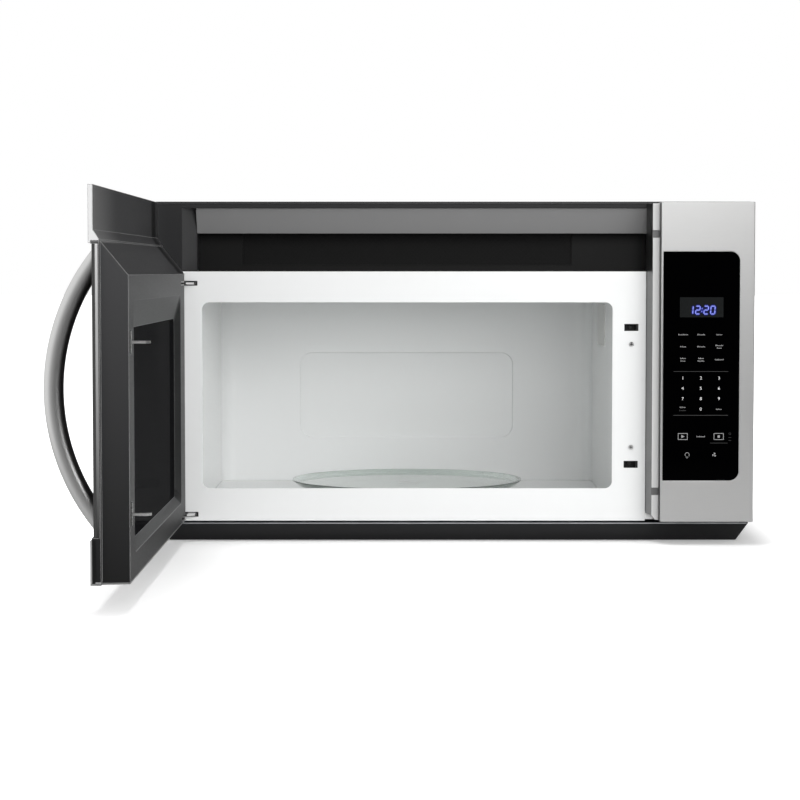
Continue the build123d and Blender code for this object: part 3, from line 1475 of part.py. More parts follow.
# Hinge brackets: an arm through the plate's slot, a flange behind it, and a riveted pin.
with BuildPart() as hinge_brackets:
    for hinge_z, low, high in (
        (hinge_top_z, flange_long, flange_short),
        (hinge_low_z, flange_short, flange_long),
    ):
        with BuildSketch(Plane.XY.offset(hinge_z - hinge_plate / 2)):
            with Locations((hinge_x, hinge_y)):
                Circle(hinge_boss_radius)
            with Locations((hinge_arm_x, plate_y - hinge_arm_radius / 2)):
                Circle(hinge_arm_radius)
            make_hull()
            rectangle_between(
                hinge_arm_x - hinge_arm_radius,
                hinge_arm_x + hinge_arm_radius,
                plate_y - hinge_arm_radius / 2,
                plate_back_y,
            )
        extrude(amount=hinge_plate)
        with BuildSketch(front_view(plate_back_y)):
            rectangle_between(flange_left_x, flange_right_x, hinge_z - low, hinge_z + high)
        extrude(amount=-hinge_plate)
    # the top bracket's pin points down into the door, the bottom one's points up
    with BuildSketch(Plane.XY.offset(hinge_top_z)):
        with Locations((hinge_x, hinge_y)):
            Circle(hinge_pin_radius)
    extrude(amount=-(hinge_plate / 2 + hinge_clear + hinge_pin_reach))
    with BuildSketch(Plane.XY.offset(hinge_low_z)):
        with Locations((hinge_x, hinge_y)):
            Circle(hinge_pin_radius)
    extrude(amount=hinge_plate / 2 + hinge_clear + hinge_pin_reach)
hinge_brackets.part.label = "hinge_brackets"
export_step(hinge_brackets.part, "parts/hinge_brackets.step")

# Latch board behind the plate, with a funnel behind each slot.
board_back_y = plate_back_y + board_thickness
catch_clear = 1.2                # beside the hook's nose, which swings in on an arc
catch_x = slot_centre_x + hook_half + hook_nose + catch_clear
catch_left_x = slot_centre_x - slot_width / 2 - catch_clear
catch_height = 13.0
relief_inset = 43.0              # slot to the end of the opening between the slots
board_relief = slot_high_z - slot_low_z - 2 * relief_inset
board_relief_radius = 4.0
with BuildPart() as latch_board:
    with BuildSketch(front_view(plate_back_y)):
        rectangle_between(board_left_x, board_right_x, board_low_z, board_high_z)
        for slot_z in (slot_high_z, slot_low_z):
            with Locations(((catch_x + catch_left_x) / 2, slot_z)):
                Rectangle(catch_x - catch_left_x, catch_height, mode=Mode.SUBTRACT)
        with Locations((slot_centre_x, (slot_high_z + slot_low_z) / 2)):
            RectangleRounded(
                slot_width, board_relief, board_relief_radius, mode=Mode.SUBTRACT
            )
    extrude(amount=-board_thickness)
    with BuildSketch(front_view(plate_back_y)):
        with Locations((slot_centre_x, screw_high_z), (slot_centre_x, screw_low_z)):
            Circle(board_screw_radius)
    extrude(amount=-board_screw_bite, mode=Mode.SUBTRACT)
latch_board.part.label = "latch_board"
export_step(latch_board.part, "parts/latch_board.step")

# Screws that hold the latch board; their heads show on the plate.
board_screw_height = 0.8
with BuildPart() as latch_board_screws:
    with BuildSketch(front_view(plate_y)):
        with Locations((slot_centre_x, screw_high_z), (slot_centre_x, screw_low_z)):
            Circle(board_screw_head)
    extrude(amount=board_screw_height)
    with BuildSketch(front_view(plate_y)):
        with Locations((slot_centre_x, screw_high_z), (slot_centre_x, screw_low_z)):
            Circle(board_screw_radius)
    extrude(amount=-plate_thickness - board_screw_bite)
latch_board_screws.part.label = "latch_board_screws"
export_step(latch_board_screws.part, "parts/latch_board_screws.step")

# Interlock switches: two behind the slots, each on two legs from the latch board.
switch_width = 24.0
switch_height = 26.0
switch_depth = 20.0
switch_leg = 4.0
plunger_tip_y = front_y + door_depth + hook_reach + plunger_gap
switch_y = plunger_tip_y + plunger_reach
with BuildPart() as interlock_switches:
    for slot_z in (slot_high_z, slot_low_z):
        with BuildSketch(front_view(switch_y)):
            with Locations((slot_centre_x, slot_z)):
                Rectangle(switch_width, switch_height)
                Circle(plunger_radius + running, mode=Mode.SUBTRACT)
        extrude(amount=-(plunger_length - plunger_reach + 2 * plunger_travel))
        with BuildSketch(
            front_view(switch_y + plunger_length - plunger_reach + 2 * plunger_travel)
        ):
            with Locations((slot_centre_x, slot_z)):
                Rectangle(switch_width, switch_height)
        extrude(amount=-(switch_depth - plunger_length + plunger_reach - 2 * plunger_travel))
        with BuildSketch(front_view(board_back_y)):
            with Locations((slot_centre_x, slot_z)):
                with GridLocations(0, switch_height - switch_leg, 1, 2):
                    Rectangle(switch_width, switch_leg)
        extrude(amount=-(switch_y - board_back_y))
interlock_switches.part.label = "interlock_switches"
export_step(interlock_switches.part, "parts/interlock_switches.step")

for name, slot_z in (("upper_plunger", slot_high_z), ("lower_plunger", slot_low_z)):
    with BuildPart() as plunger:
        with BuildSketch(front_view(plunger_tip_y)):
            with Locations((slot_centre_x, slot_z)):
                Circle(plunger_radius)
        extrude(amount=-plunger_length)
    plunger.part.label = name
    export_step(plunger.part, f"parts/{name}.step")

# ================================================================= TURNTABLE
rim_top_z = tray_bottom_z + tray_rim_height
tray_top_z = tray_bottom_z + tray_thickness
lug_angle = 60.0                 # half-way between the coupler's lobes
with BuildPart() as glass_tray:
    with BuildSketch(Plane.XZ.offset(-turntable_y)):
        with BuildLine():
            Polyline(
                (cavity_centre_x, tray_bottom_z),
                (cavity_centre_x + tray_radius - tray_rim_width, tray_bottom_z),
                (cavity_centre_x + tray_radius, rim_top_z - tray_thickness / 2),
                (cavity_centre_x + tray_radius, rim_top_z),
                (cavity_centre_x + tray_radius - tray_thickness / 2, rim_top_z),
                (cavity_centre_x + tray_radius - tray_rim_width, tray_top_z),
                (cavity_centre_x, tray_top_z),
                close=True,
            )
        make_face()
    revolve(axis=Axis((cavity_centre_x, turntable_y, 0), (0, 0, 1)))
    with BuildSketch(Plane.XY.offset(tray_bottom_z)):
        with Locations((cavity_centre_x, turntable_y)):
            with PolarLocations(
                hub_lobe_reach + hub_lobe_radius, roller_count, start_angle=lug_angle
            ):
                Circle(tray_lug_radius)
    extrude(amount=-tray_lug_radius)
glass_tray.part.label = "glass_tray"
export_step(glass_tray.part, "parts/glass_tray.step")

with BuildPart() as drive_coupler:
    with BuildSketch(Plane.XY.offset(tray_bottom_z)):
        with Locations((cavity_centre_x, turntable_y)):
            Circle(hub_radius)
            with PolarLocations(hub_lobe_reach, roller_count):
                Circle(hub_lobe_radius)
    extrude(amount=-hub_height)
    with BuildSketch(Plane.XY.offset(tray_bottom_z - hub_height)):
        with Locations((cavity_centre_x, turntable_y)):
            Circle(shaft_radius)
    extrude(amount=-shaft_length)
drive_coupler.part.label = "drive_coupler"
export_step(drive_coupler.part, "parts/drive_coupler.step")

motor_ear_span = 68.0
motor_ear_width = 12.0
with BuildPart() as turntable_motor:
    motor_top_z = cavity_floor_z - cavity_sheet
    with BuildSketch(Plane.XY.offset(motor_top_z)):
        with Locations((cavity_centre_x, turntable_y)):
            Circle(motor_radius)
            SlotOverall(motor_ear_span, motor_ear_width)
            Circle(shaft_radius + running, mode=Mode.SUBTRACT)
    extrude(amount=-motor_flange)
    with BuildSketch(Plane.XY.offset(motor_top_z - motor_flange)):
        with Locations((cavity_centre_x, turntable_y)):
            Circle(motor_radius)
            Circle(shaft_radius + running, mode=Mode.SUBTRACT)
    extrude(amount=-motor_height)
turntable_motor.part.label = "turntable_motor"
export_step(turntable_motor.part, "parts/turntable_motor.step")

# Roller ring: a flat ring with three stub axles.
roller_radius = (tray_bottom_z - cavity_floor_z) / 2 - roller_gap
roller_z = (tray_bottom_z + cavity_floor_z) / 2
roller_side_gap = 2.0
roller_start = ring_radius + ring_width / 2 + roller_side_gap
with BuildPart() as roller_ring:
    with BuildSketch(Plane.XY.offset(roller_z - ring_height / 2)):
        with Locations((cavity_centre_x, turntable_y)):
            Circle(ring_radius + ring_width / 2)
            Circle(ring_radius - ring_width / 2, mode=Mode.SUBTRACT)
    extrude(amount=ring_height)
    with Locations((cavity_centre_x, turntable_y, roller_z)):
        with PolarLocations(ring_radius, roller_count):
            Cylinder(
                roller_axle_radius,
                axle_length + ring_width / 2,
                rotation=(0, 90, 0),
                align=(Align.CENTER, Align.CENTER, Align.MIN),
            )
roller_ring.part.label = "roller_ring"
export_step(roller_ring.part, "parts/roller_ring.step")

for index in range(roller_count):
    spoke = Plane(
        origin=(cavity_centre_x, turntable_y, roller_z), x_dir=(1, 0, 0), z_dir=(0, 0, 1)
    ).rotated((0, 0, index * 360 / roller_count))
    radial = Plane(
        origin=spoke.from_local_coords((roller_start, 0, 0)), x_dir=(0, 0, 1), z_dir=spoke.x_dir
    )
    with BuildPart() as roller:
        with BuildSketch(radial):
            Circle(roller_radius)
            Circle(roller_axle_radius + running, mode=Mode.SUBTRACT)
        extrude(amount=roller_width)
    roller.part.label = f"roller_{index + 1}"
    export_step(roller.part, f"parts/roller_{index + 1}.step")
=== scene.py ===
"""Looks of the over-the-range microwave oven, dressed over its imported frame."""
import json
import math

import bmesh
import bpy
from mathutils import Matrix, Vector


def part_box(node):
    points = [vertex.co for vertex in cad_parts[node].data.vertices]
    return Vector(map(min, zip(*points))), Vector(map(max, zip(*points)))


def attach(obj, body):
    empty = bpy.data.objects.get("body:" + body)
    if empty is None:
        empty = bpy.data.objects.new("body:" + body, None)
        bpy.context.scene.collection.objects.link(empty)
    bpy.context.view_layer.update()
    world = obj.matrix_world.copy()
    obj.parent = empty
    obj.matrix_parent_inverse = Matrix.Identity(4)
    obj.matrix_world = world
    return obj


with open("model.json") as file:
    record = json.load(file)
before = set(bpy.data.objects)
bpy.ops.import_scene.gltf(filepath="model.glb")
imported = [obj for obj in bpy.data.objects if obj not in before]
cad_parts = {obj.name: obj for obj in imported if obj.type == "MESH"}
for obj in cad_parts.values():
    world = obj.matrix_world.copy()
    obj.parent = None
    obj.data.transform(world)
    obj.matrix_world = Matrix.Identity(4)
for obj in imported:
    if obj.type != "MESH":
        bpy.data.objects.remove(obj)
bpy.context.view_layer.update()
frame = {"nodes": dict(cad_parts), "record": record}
nodes = frame["nodes"]
scene = bpy.context.scene
MM = 0.001

# Spans in object coordinates end this far, in millimetres, outside a node's box.
PAST = 1.0
# Cosine between a face and its rounded normal from which on the face counts as flat.
FLAT = 0.998
SCREEN_PITCH = 0.0022


# ------------------------------------------------------------------ shader helpers
class Look:
    """A Principled material with a few procedural layers in object coordinates."""

    def __init__(self, name, colour, roughness, metallic=0.0, **inputs):
        self.mat = bpy.data.materials.new(name)
        self.mat.use_nodes = True
        self.tree = self.mat.node_tree
        self.shader = self.tree.nodes["Principled BSDF"]
        self.colour = tuple(colour) + (1.0,)
        self.shader.inputs["Base Color"].default_value = self.colour
        self.shader.inputs["Roughness"].default_value = roughness
        self.shader.inputs["Metallic"].default_value = metallic
        for key, value in inputs.items():
            self.shader.inputs[key.replace("_", " ")].default_value = value
        self.coords = self.tree.nodes.new("ShaderNodeTexCoord").outputs["Object"]
        self.bump_link = None

    def node(self, kind, **settings):
        made = self.tree.nodes.new(kind)
        for key, value in settings.items():
            setattr(made, key, value)
        return made

    def link(self, source, target):
        self.tree.links.new(source, target)

    def scaled(self, scale):
        mapping = self.node("ShaderNodeMapping")
        mapping.inputs["Scale"].default_value = scale
        self.link(self.coords, mapping.inputs["Vector"])
        return mapping.outputs["Vector"]

    def noise(self, scale, stretch=(1, 1, 1), detail=3.0):
        made = self.node("ShaderNodeTexNoise")
        made.inputs["Scale"].default_value = scale
        made.inputs["Detail"].default_value = detail
        self.link(self.scaled(stretch), made.inputs["Vector"])
        return made.outputs["Fac"]

    def ramp(self, value, low, high, start=0.35, end=0.65):
        made = self.node("ShaderNodeMapRange")
        made.inputs["From Min"].default_value = start
        made.inputs["From Max"].default_value = end
        made.inputs["To Min"].default_value = low
        made.inputs["To Max"].default_value = high
        self.link(value, made.inputs["Value"])
        return made.outputs["Result"]

    def maths(self, operation, first, second=0.0):
        made = self.node("ShaderNodeMath", operation=operation)
        for socket, value in zip(made.inputs, (first, second)):
            if isinstance(value, (int, float)):
                socket.default_value = value
            else:
                self.link(value, socket)
        return made.outputs["Value"]

    def place(self, axis):
        """An object coordinate, in metres."""
        split = self.node("ShaderNodeSeparateXYZ")
        self.link(self.coords, split.inputs["Vector"])
        return split.outputs[axis]

    def between(self, axis, low, high):
        """1 where the coordinate in millimetres lies between low and high, else 0."""
        above = self.maths("GREATER_THAN", self.place(axis), low * MM)
        below = self.maths("LESS_THAN", self.place(axis), high * MM)
        return self.maths("MULTIPLY", above, below)

    def paint_where(self, mask, colour):
        """Lays another colour over what the base colour is so far."""
        mix = self.node("ShaderNodeMix", data_type="RGBA")
        base = self.shader.inputs["Base Color"]
        if base.links:
            self.link(base.links[0].from_socket, mix.inputs["A"])
        else:
            mix.inputs["A"].default_value = self.colour
        mix.inputs["B"].default_value = tuple(colour) + (1,)
        self.link(mask, mix.inputs["Factor"])
        self.link(mix.outputs["Result"], base)
        return self

    def round_edges(self, radius):
        """Softens how light breaks on the edges, by a radius in millimetres."""
        made = self.node("ShaderNodeBevel", samples=8)
        made.inputs["Radius"].default_value = radius * MM
        self.bump_link = made.outputs["Normal"]
        self.link(self.bump_link, self.shader.inputs["Normal"])
        return self

    def paint_edge_light_and_shade(self, radius, colour, amount, full_turn=0.90):
        """Paints the sharp edges lighter or darker than the faces: a painted highlight where a rounded
        edge would catch the light, painted shade where it would lose it.
        """
        rounded = self.node("ShaderNodeBevel", samples=6)
        rounded.inputs["Radius"].default_value = radius * MM
        flat = self.node("ShaderNodeNewGeometry")
        turn = self.node("ShaderNodeVectorMath", operation="DOT_PRODUCT")
        self.link(rounded.outputs["Normal"], turn.inputs[0])
        self.link(flat.outputs["Normal"], turn.inputs[1])
        edge = self.ramp(turn.outputs["Value"], amount, 0.0, full_turn, FLAT)
        return self.paint_where(edge, colour)

    def mix_shades(self, factor, low_tone, high_tone):
        """The base colour times low_tone where the factor is 0, times high_tone where it is 1."""
        mix = self.node("ShaderNodeMix", data_type="RGBA")
        base = self.colour[:3]
        mix.inputs["A"].default_value = tuple(min(1, c * low_tone) for c in base) + (1,)
        mix.inputs["B"].default_value = tuple(min(1, c * high_tone) for c in base) + (1,)
        self.link(factor, mix.inputs["Factor"])
        self.link(mix.outputs["Result"], self.shader.inputs["Base Color"])
        return self

    def fade(self, axis, low, high, low_tone, high_tone):
        """Fades the base colour along an axis, from low to high in millimetres."""
        along = self.ramp(self.place(axis), 0.0, 1.0, low * MM, high * MM)
        return self.mix_shades(along, low_tone, high_tone)

    def mesh_pattern(self, axes, pitch, wire_share):
        """1 on the wires of a diagonal mesh of that pitch in metres, 0 in its holes."""
        split = self.node("ShaderNodeSeparateXYZ")
        self.link(self.coords, split.inputs["Vector"])
        across = split.outputs[axes[0]]
        along = split.outputs[axes[1]]
        wires = []
        for operation in ("ADD", "SUBTRACT"):
            slant = self.maths("DIVIDE", self.maths(operation, across, along), pitch)
            distance = self.maths("PINGPONG", slant, 0.5)
            wires.append(self.maths("LESS_THAN", distance, wire_share))
        return self.maths("MAXIMUM", *wires)

    def vary_roughness(self, value, low, high):
        self.link(self.ramp(value, low, high), self.shader.inputs["Roughness"])
        return self

    def vary_colour(self, value, dark, light):
        """Mixes the base colour darker and lighter by a value between 0 and 1."""
        return self.mix_shades(self.ramp(value, 0.0, 1.0), dark, light)

    def bump(self, value, strength, distance=0.0002):
        made = self.node("ShaderNodeBump")
        made.inputs["Strength"].default_value = strength
        made.inputs["Distance"].default_value = distance
        self.link(value, made.inputs["Height"])
        if self.bump_link is not None:
            self.link(self.bump_link, made.inputs["Normal"])
        self.bump_link = made.outputs["Normal"]
        self.link(self.bump_link, self.shader.inputs["Normal"])
        return self


def grey(level):
    """A neutral colour of that level."""
    return (level, level, level)


def brushed_look(name, colour, stretch=(60, 60, 7000), roughness=(0.30, 0.35), edge=0.0,
                 relief=0.03):
    """Brushed steel whose fine lines run along the axes with the smallest stretch."""
    look = Look(name, colour, 0.3, 1.0)
    if edge:
        look.round_edges(edge)
    lines = look.noise(1.0, stretch, 3.0)
    look.vary_roughness(lines, *roughness)
    look.vary_colour(lines, 0.985, 1.01)
    look.bump(lines, relief, 0.00001)
    return look


def brushed(*args, **settings):
    return brushed_look(*args, **settings).mat


def plastic_look(name, colour, roughness=0.45, grain=2600.0, strength=0.08, edge=0.0, **inputs):
    """Moulded plastic with a fine grain."""
    look = Look(name, colour, roughness, **inputs)
    if edge:
        look.round_edges(edge)
    spread = 0.03
    look.vary_roughness(look.noise(grain / 4), roughness - spread, roughness + spread)
    look.bump(look.noise(grain), strength, 0.00004)
    return look


def plastic(*args, **settings):
    return plastic_look(*args, **settings).mat


def paint_look(name, colour, roughness=0.35, peel=900.0, strength=0.03, edge=0.0, **inputs):
    """Sprayed paint or enamel with faint orange peel."""
    look = Look(name, colour, roughness, **inputs)
    if edge:
        look.round_edges(edge)
    spread = 0.02
    look.vary_roughness(look.noise(peel / 2), roughness - spread, roughness + spread)
    look.bump(look.noise(peel), strength, 0.00003)
    return look


def paint(*args, **settings):
    return paint_look(*args, **settings).mat


def spangle(name, colour):
    """Galvanised sheet: crystal patches of slightly different tone and gloss."""
    patches_per_metre = 70.0
    look = Look(name, colour, 0.4, 0.9)
    cells = look.node("ShaderNodeTexVoronoi")
    cells.inputs["Scale"].default_value = patches_per_metre
    look.link(look.coords, cells.inputs["Vector"])
    tone = look.node("ShaderNodeSeparateColor")
    look.link(cells.outputs["Color"], tone.inputs["Color"])
    look.vary_roughness(tone.outputs["Red"], 0.34, 0.46)
    look.vary_colour(tone.outputs["Green"], 0.94, 1.04)
    return look.mat


def glass(name, colour, roughness, transmission=1.0):
    """Pressed glass, slightly wavy."""
    look = Look(name, colour, roughness, IOR=1.5, Transmission_Weight=transmission)
    look.bump(look.noise(60.0), 0.02, 0.0001)
    return look.mat


def gloss_black(name, colour, roughness, specular):
    """Polished glass over a black print, with the faintest waviness."""
    look = Look(name, colour, roughness, Specular_IOR_Level=specular)
    look.bump(look.noise(25.0), 0.01, 0.0001)
    return look.mat


def filter_mesh(name, colour, hole, axes, pitch, metallic, roughness):
    """Expanded metal: bright wires over dark holes."""
    wire_share = 0.17
    look = Look(name, colour, roughness, metallic)
    wires = look.mesh_pattern(axes, pitch, wire_share)
    mix = look.node("ShaderNodeMix", data_type="RGBA")
    mix.inputs["A"].default_value = tuple(hole) + (1,)
    mix.inputs["B"].default_value = tuple(colour) + (1,)
    look.link(wires, mix.inputs["Factor"])
    look.link(mix.outputs["Result"], look.shader.inputs["Base Color"])
    look.bump(wires, 0.5, 0.0004)
    return look.mat


def stainless_look():
    """Brushed sheet with painted shade along its edges, which look darker than its faces."""
    look = brushed_look("stainless", (0.74, 0.74, 0.735), roughness=(0.36, 0.40), edge=0.9)
    look.paint_edge_light_and_shade(0.8, grey(0.42), 0.6)
    return look.mat


looks = {
    "stainless": stainless_look(),
    "white_enamel": paint("white_enamel", (0.90, 0.91, 0.908), 0.25, 1400.0, 0.015, edge=1.2,
                          Coat_Weight=0.2, Coat_Roughness=0.1),
    "case_paint": paint("case_paint", (0.026, 0.026, 0.027), 0.42, edge=0.6),
    "base_paint": paint("base_paint", (0.011, 0.011, 0.012), 0.45, edge=0.9),
    "galvanised": spangle("galvanised", (0.62, 0.64, 0.66)),
    "black_glass": gloss_black("black_glass", (0.0003, 0.0003, 0.0004), 0.04, 0.02),
    "tray_glass": glass("tray_glass", (0.88, 0.95, 0.91), 0.05, 0.88),
    "lens_glass": glass("lens_glass", (0.93, 0.93, 0.91), 0.35),
    "dark_plastic": plastic("dark_plastic", (0.026, 0.026, 0.027), 0.36, edge=1.3,
                            Specular_IOR_Level=0.3),
    "grey_plastic": plastic("grey_plastic", grey(0.30)),
    "white_plastic": plastic("white_plastic", (0.78, 0.78, 0.76)),
    "trim_paint": paint("trim_paint", (0.72, 0.72, 0.715), 0.33),
    "vent_plastic": plastic("vent_plastic", (0.020, 0.020, 0.021), 0.42, edge=0.8),
    "deflector_paint": paint("deflector_paint", (0.215, 0.215, 0.216), 0.4, edge=0.5),
    "charcoal": filter_mesh("charcoal", grey(0.0075), grey(0.0065),
                            ("X", "Z"), 0.006, 0.0, 0.8),
    "filter_aluminium": filter_mesh("filter_aluminium", (0.62, 0.63, 0.64), grey(0.05),
                                    ("X", "Y"), 0.005, 0.9, 0.35),
    "mica": plastic("mica", (0.74, 0.74, 0.72), 0.5),
    "circuit_board": plastic("circuit_board", (0.02, 0.12, 0.05), 0.35),
    "core_steel": plastic("core_steel", (0.10, 0.075, 0.06), 0.5),
    "motor_steel": spangle("motor_steel", (0.55, 0.55, 0.54)),
    "grommet_rubber": plastic("grommet_rubber", grey(0.02), 0.6),
    "screw_steel": brushed("screw_steel", grey(0.66), (200, 200, 200), (0.25, 0.4)),
    "hook_steel": brushed("hook_steel", (0.80, 0.80, 0.79), (60, 60, 5000), (0.25, 0.35)),
    "screen_steel": filter_mesh("screen_steel", grey(0.010), grey(0.001),
                                ("Y", "Z"), SCREEN_PITCH, 0.0, 0.5),
    "roller_plastic": plastic("roller_plastic", (0.72, 0.72, 0.69), 0.4),
}


def pane_look():
    """Dark glass over the door's screen, whose fine mesh shows faintly through it."""
    wire_share = 0.22
    look = Look("pane_glass", grey(0.004), 0.1, Specular_IOR_Level=0.0,
                Coat_Weight=0.03, Coat_Roughness=0.04)
    wires = look.mesh_pattern(("Y", "Z"), SCREEN_PITCH, wire_share)
    look.paint_where(wires, (0.009, 0.009, 0.010))
    look.bump(look.noise(25.0), 0.01, 0.0001)
    return look.mat


def handle_look():
    """Satin steel, brushed along the handle's length."""
    return brushed("handle_steel", (0.62, 0.62, 0.615), (900, 900, 30), (0.28, 0.31),
                   edge=8.0, relief=0.0)


def top_trim_look():
    """Brushed sheet with a painted highlight on its folded end, and painted shade along its thin
    edges, which look darker than its faces.
    """
    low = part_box("door_top_trim")[0]
    end_skin = 0.8
    end_metallic = 0.45
    look = brushed_look("top_trim_steel", (0.74, 0.74, 0.735), roughness=(0.36, 0.40))
    # painted highlight: the end face is painted lighter and less metallic than the rest of the sheet
    end = look.between("Y", low.y / MM - PAST, low.y / MM + end_skin)
    look.paint_where(end, grey(0.90))
    look.link(look.ramp(end, 1.0, end_metallic, 0.0, 1.0), look.shader.inputs["Metallic"])
    # painted shade along the thin edges
    look.paint_edge_light_and_shade(0.9, grey(0.10), 1.0, 0.96)
    return look.mat


def carrier_look():
    """Bright sheet that holds the door's glass; less light reaches its lower part."""
    low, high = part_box("glass_carrier")
    look = brushed_look("carrier_steel", grey(0.80), (7000, 60, 60))
    look.shader.inputs["Metallic"].default_value = 0.65
    look.fade("Z", low.z / MM, high.z / MM, low_tone=0.05, high_tone=1.12)
    return look.mat


def door_glass_look():
    """Black glass with a ground, greyish rim at its free end."""
    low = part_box("door_glass")[0]
    rim_skin = 0.6
    look = Look("door_glass", (0.0003, 0.0003, 0.0004), 0.05, Specular_IOR_Level=0.1)
    rim = look.between("Y", low.y / MM - PAST, low.y / MM + rim_skin)
    look.paint_where(rim, grey(0.05))
    return look.mat


def side_trim_look():
    """Light strip with painted shade: darker behind its front face and in the grooves, on the slanted
    face and its foot, in the step's gap, and black beside the vent.
    """
    low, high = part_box("panel_side_trim")
    strip_y = -191.0
    strip_skin = 0.1
    slant_x = 252.6
    slant_foot_x = low.x / MM + 0.9
    step_x = 260.9
    vent_z = 346.5
    look = paint_look("side_trim_paint", (0.70, 0.70, 0.695), 0.33)
    # painted shade on every face set back behind the strip's front, the grooves among them
    behind = look.between("Y", strip_y + strip_skin, high.y / MM + PAST)
    look.paint_where(behind, grey(0.16))
    # painted shade on the slanted face, darker still at its foot and black beside the vent recess
    slant = look.between("X", low.x / MM - PAST, slant_x)
    look.paint_where(slant, grey(0.125))
    look.paint_where(look.between("X", low.x / MM - PAST, slant_foot_x), grey(0.06))
    beside_vent = look.maths("MULTIPLY", slant, look.between("Z", vent_z, high.z / MM + PAST))
    look.paint_where(beside_vent, grey(0.012))
    # painted shade in the gap of the step beside the panel
    look.paint_where(look.between("X", step_x, high.x / MM + PAST), grey(0.035))
    return look.mat


def bottom_trim_look():
    """Brushed sheet with painted shade: black behind its outer face, and greyer along its lower edge.
    """
    low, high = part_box("door_bottom_trim")
    sheet = 1.9
    look = brushed_look("bottom_trim_steel", (0.70, 0.70, 0.695), roughness=(0.36, 0.40))
    # painted shade on the faces behind the outer face
    behind = look.between("X", low.x / MM + sheet, high.x / MM + PAST)
    look.paint_where(behind, grey(0.03))
    # painted shade along the lower edge
    lower_edge = look.between("Z", low.z / MM - PAST, low.z / MM + sheet)
    look.paint_where(lower_edge, grey(0.45))
    return look.mat


def door_body_look():
    """Black moulding with painted light and shade: painted lighter upward, a painted highlight on the
    top flange towards the free end, painted shade on the sunk slope at the hinge side, and painted
    highlights on its edges and along the free end's lower edge.
    """
    low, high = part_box("door_body")
    pane_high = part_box("inner_pane")[1]
    foot_highlight_band = 1.8
    end_skin = 0.5
    flange_foot = 376.0
    flange_light_y = -800.0
    flange_dark_y = -620.0
    pane_seam = 0.5
    bezel_width = 46.0
    bezel_depth = 0.8
    look = Look("door_moulding", (0.025, 0.025, 0.026), 0.45, Specular_IOR_Level=0.25)
    look.round_edges(1.5)
    # painted light: the moulding is painted lighter upward, as the light falls from above
    look.fade("Z", low.z / MM, high.z / MM, low_tone=0.25, high_tone=1.85)
    # painted highlight on the top flange, fading from the free end towards the hinge
    flange = look.between("Z", flange_foot, high.z / MM + PAST)
    free_end = look.ramp(look.place("Y"), 1.0, 0.0, flange_light_y * MM, flange_dark_y * MM)
    look.paint_where(look.maths("MULTIPLY", flange, free_end), grey(0.13))
    # painted shade on the sunk slope beside the pane, at the hinge side
    hinge_slope = look.between("Y", pane_high.y / MM - pane_seam, pane_high.y / MM + bezel_width)
    sunk = look.between("X", low.x / MM - PAST, high.x / MM - bezel_depth)
    look.paint_where(look.maths("MULTIPLY", hinge_slope, sunk), grey(0.010))
    # painted highlights along the edges
    look.paint_edge_light_and_shade(1.0, grey(0.26), 1.0, 0.975)
    # painted highlight along the lower edge of the free end
    end = look.between("Y", low.y / MM - PAST, low.y / MM + end_skin)
    foot = look.maths("MULTIPLY", end, look.between("Z", low.z / MM - PAST, low.z / MM + foot_highlight_band))
    look.paint_where(foot, grey(0.33))
    look.vary_roughness(look.noise(650.0), 0.42, 0.48)
    look.bump(look.noise(2600.0), 0.06, 0.00004)
    return look.mat


def bracket_look():
    """Bracket painted dark as the shade in its slot, with a painted highlight band along the middle of
    each arm.
    """
    low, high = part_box("hinge_brackets")
    band_ends = (-341.0, -331.5)
    arm_inset = 8.4
    half_band = 1.5
    # painted shade: the whole bracket is painted nearly black
    look = paint_look("bracket_steel", grey(0.03), 0.4)
    # painted highlight: a bright band along each arm
    along = look.between("X", *band_ends)
    for middle in (low.z / MM + arm_inset, high.z / MM - arm_inset):
        highlight_band = look.between("Z", middle - half_band, middle + half_band)
        look.paint_where(look.maths("MULTIPLY", along, highlight_band), grey(0.62))
    return look.mat


def vent_look():
    """Black moulding with painted shade on the recess's far face and painted light on its slanted left
    jamb.
    """
    low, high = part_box("vent_frame")
    far_skin = 3.0
    front_skin = 0.2
    jamb_sides = (-347.2, -329.4)
    jamb_back = -120.0
    look = Look("vent_moulding", (0.022, 0.022, 0.023), 0.5, Specular_IOR_Level=0.25)
    look.round_edges(0.8)
    # painted shade on the far face at the back of the recess
    far_face = look.between("Y", high.y / MM - far_skin, high.y / MM + PAST)
    look.paint_where(far_face, grey(0.007))
    # painted light on the slanted left jamb
    jamb = look.between("X", *jamb_sides)
    depth = look.between("Y", low.y / MM + front_skin, jamb_back)
    look.paint_where(look.maths("MULTIPLY", jamb, depth), (0.055, 0.055, 0.056))
    look.vary_roughness(look.noise(650.0), 0.46, 0.52)
    look.bump(look.noise(2600.0), 0.08, 0.00004)
    return look.mat


# painted shade: the latch plungers are painted nearly black, as the slots they sit in are in shade
shaded_plunger_look = plastic("plunger_plastic", grey(0.05))
own_looks = {
    "upper_plunger": shaded_plunger_look,
    "lower_plunger": shaded_plunger_look,
    "door_top_trim": top_trim_look(),
    "glass_carrier": carrier_look(),
    "door_glass": door_glass_look(),
    "door_body": door_body_look(),
    "vent_frame": vent_look(),
    "handle": handle_look(),
    "inner_pane": pane_look(),
    "panel_side_trim": side_trim_look(),
    "door_bottom_trim": bottom_trim_look(),
    "hinge_brackets": bracket_look(),
}

slot_of = {s["node"]: s["material_slot"] for s in frame["record"]["subparts"]}
for name, obj in nodes.items():
    obj.data.materials.clear()
    obj.data.materials.append(own_looks.get(name) or looks[slot_of[name]])


# ------------------------------------------------------------------ softened edges
# In millimetres and degrees.
WELD_REACH = 0.02
SHARP_ANGLE = 38


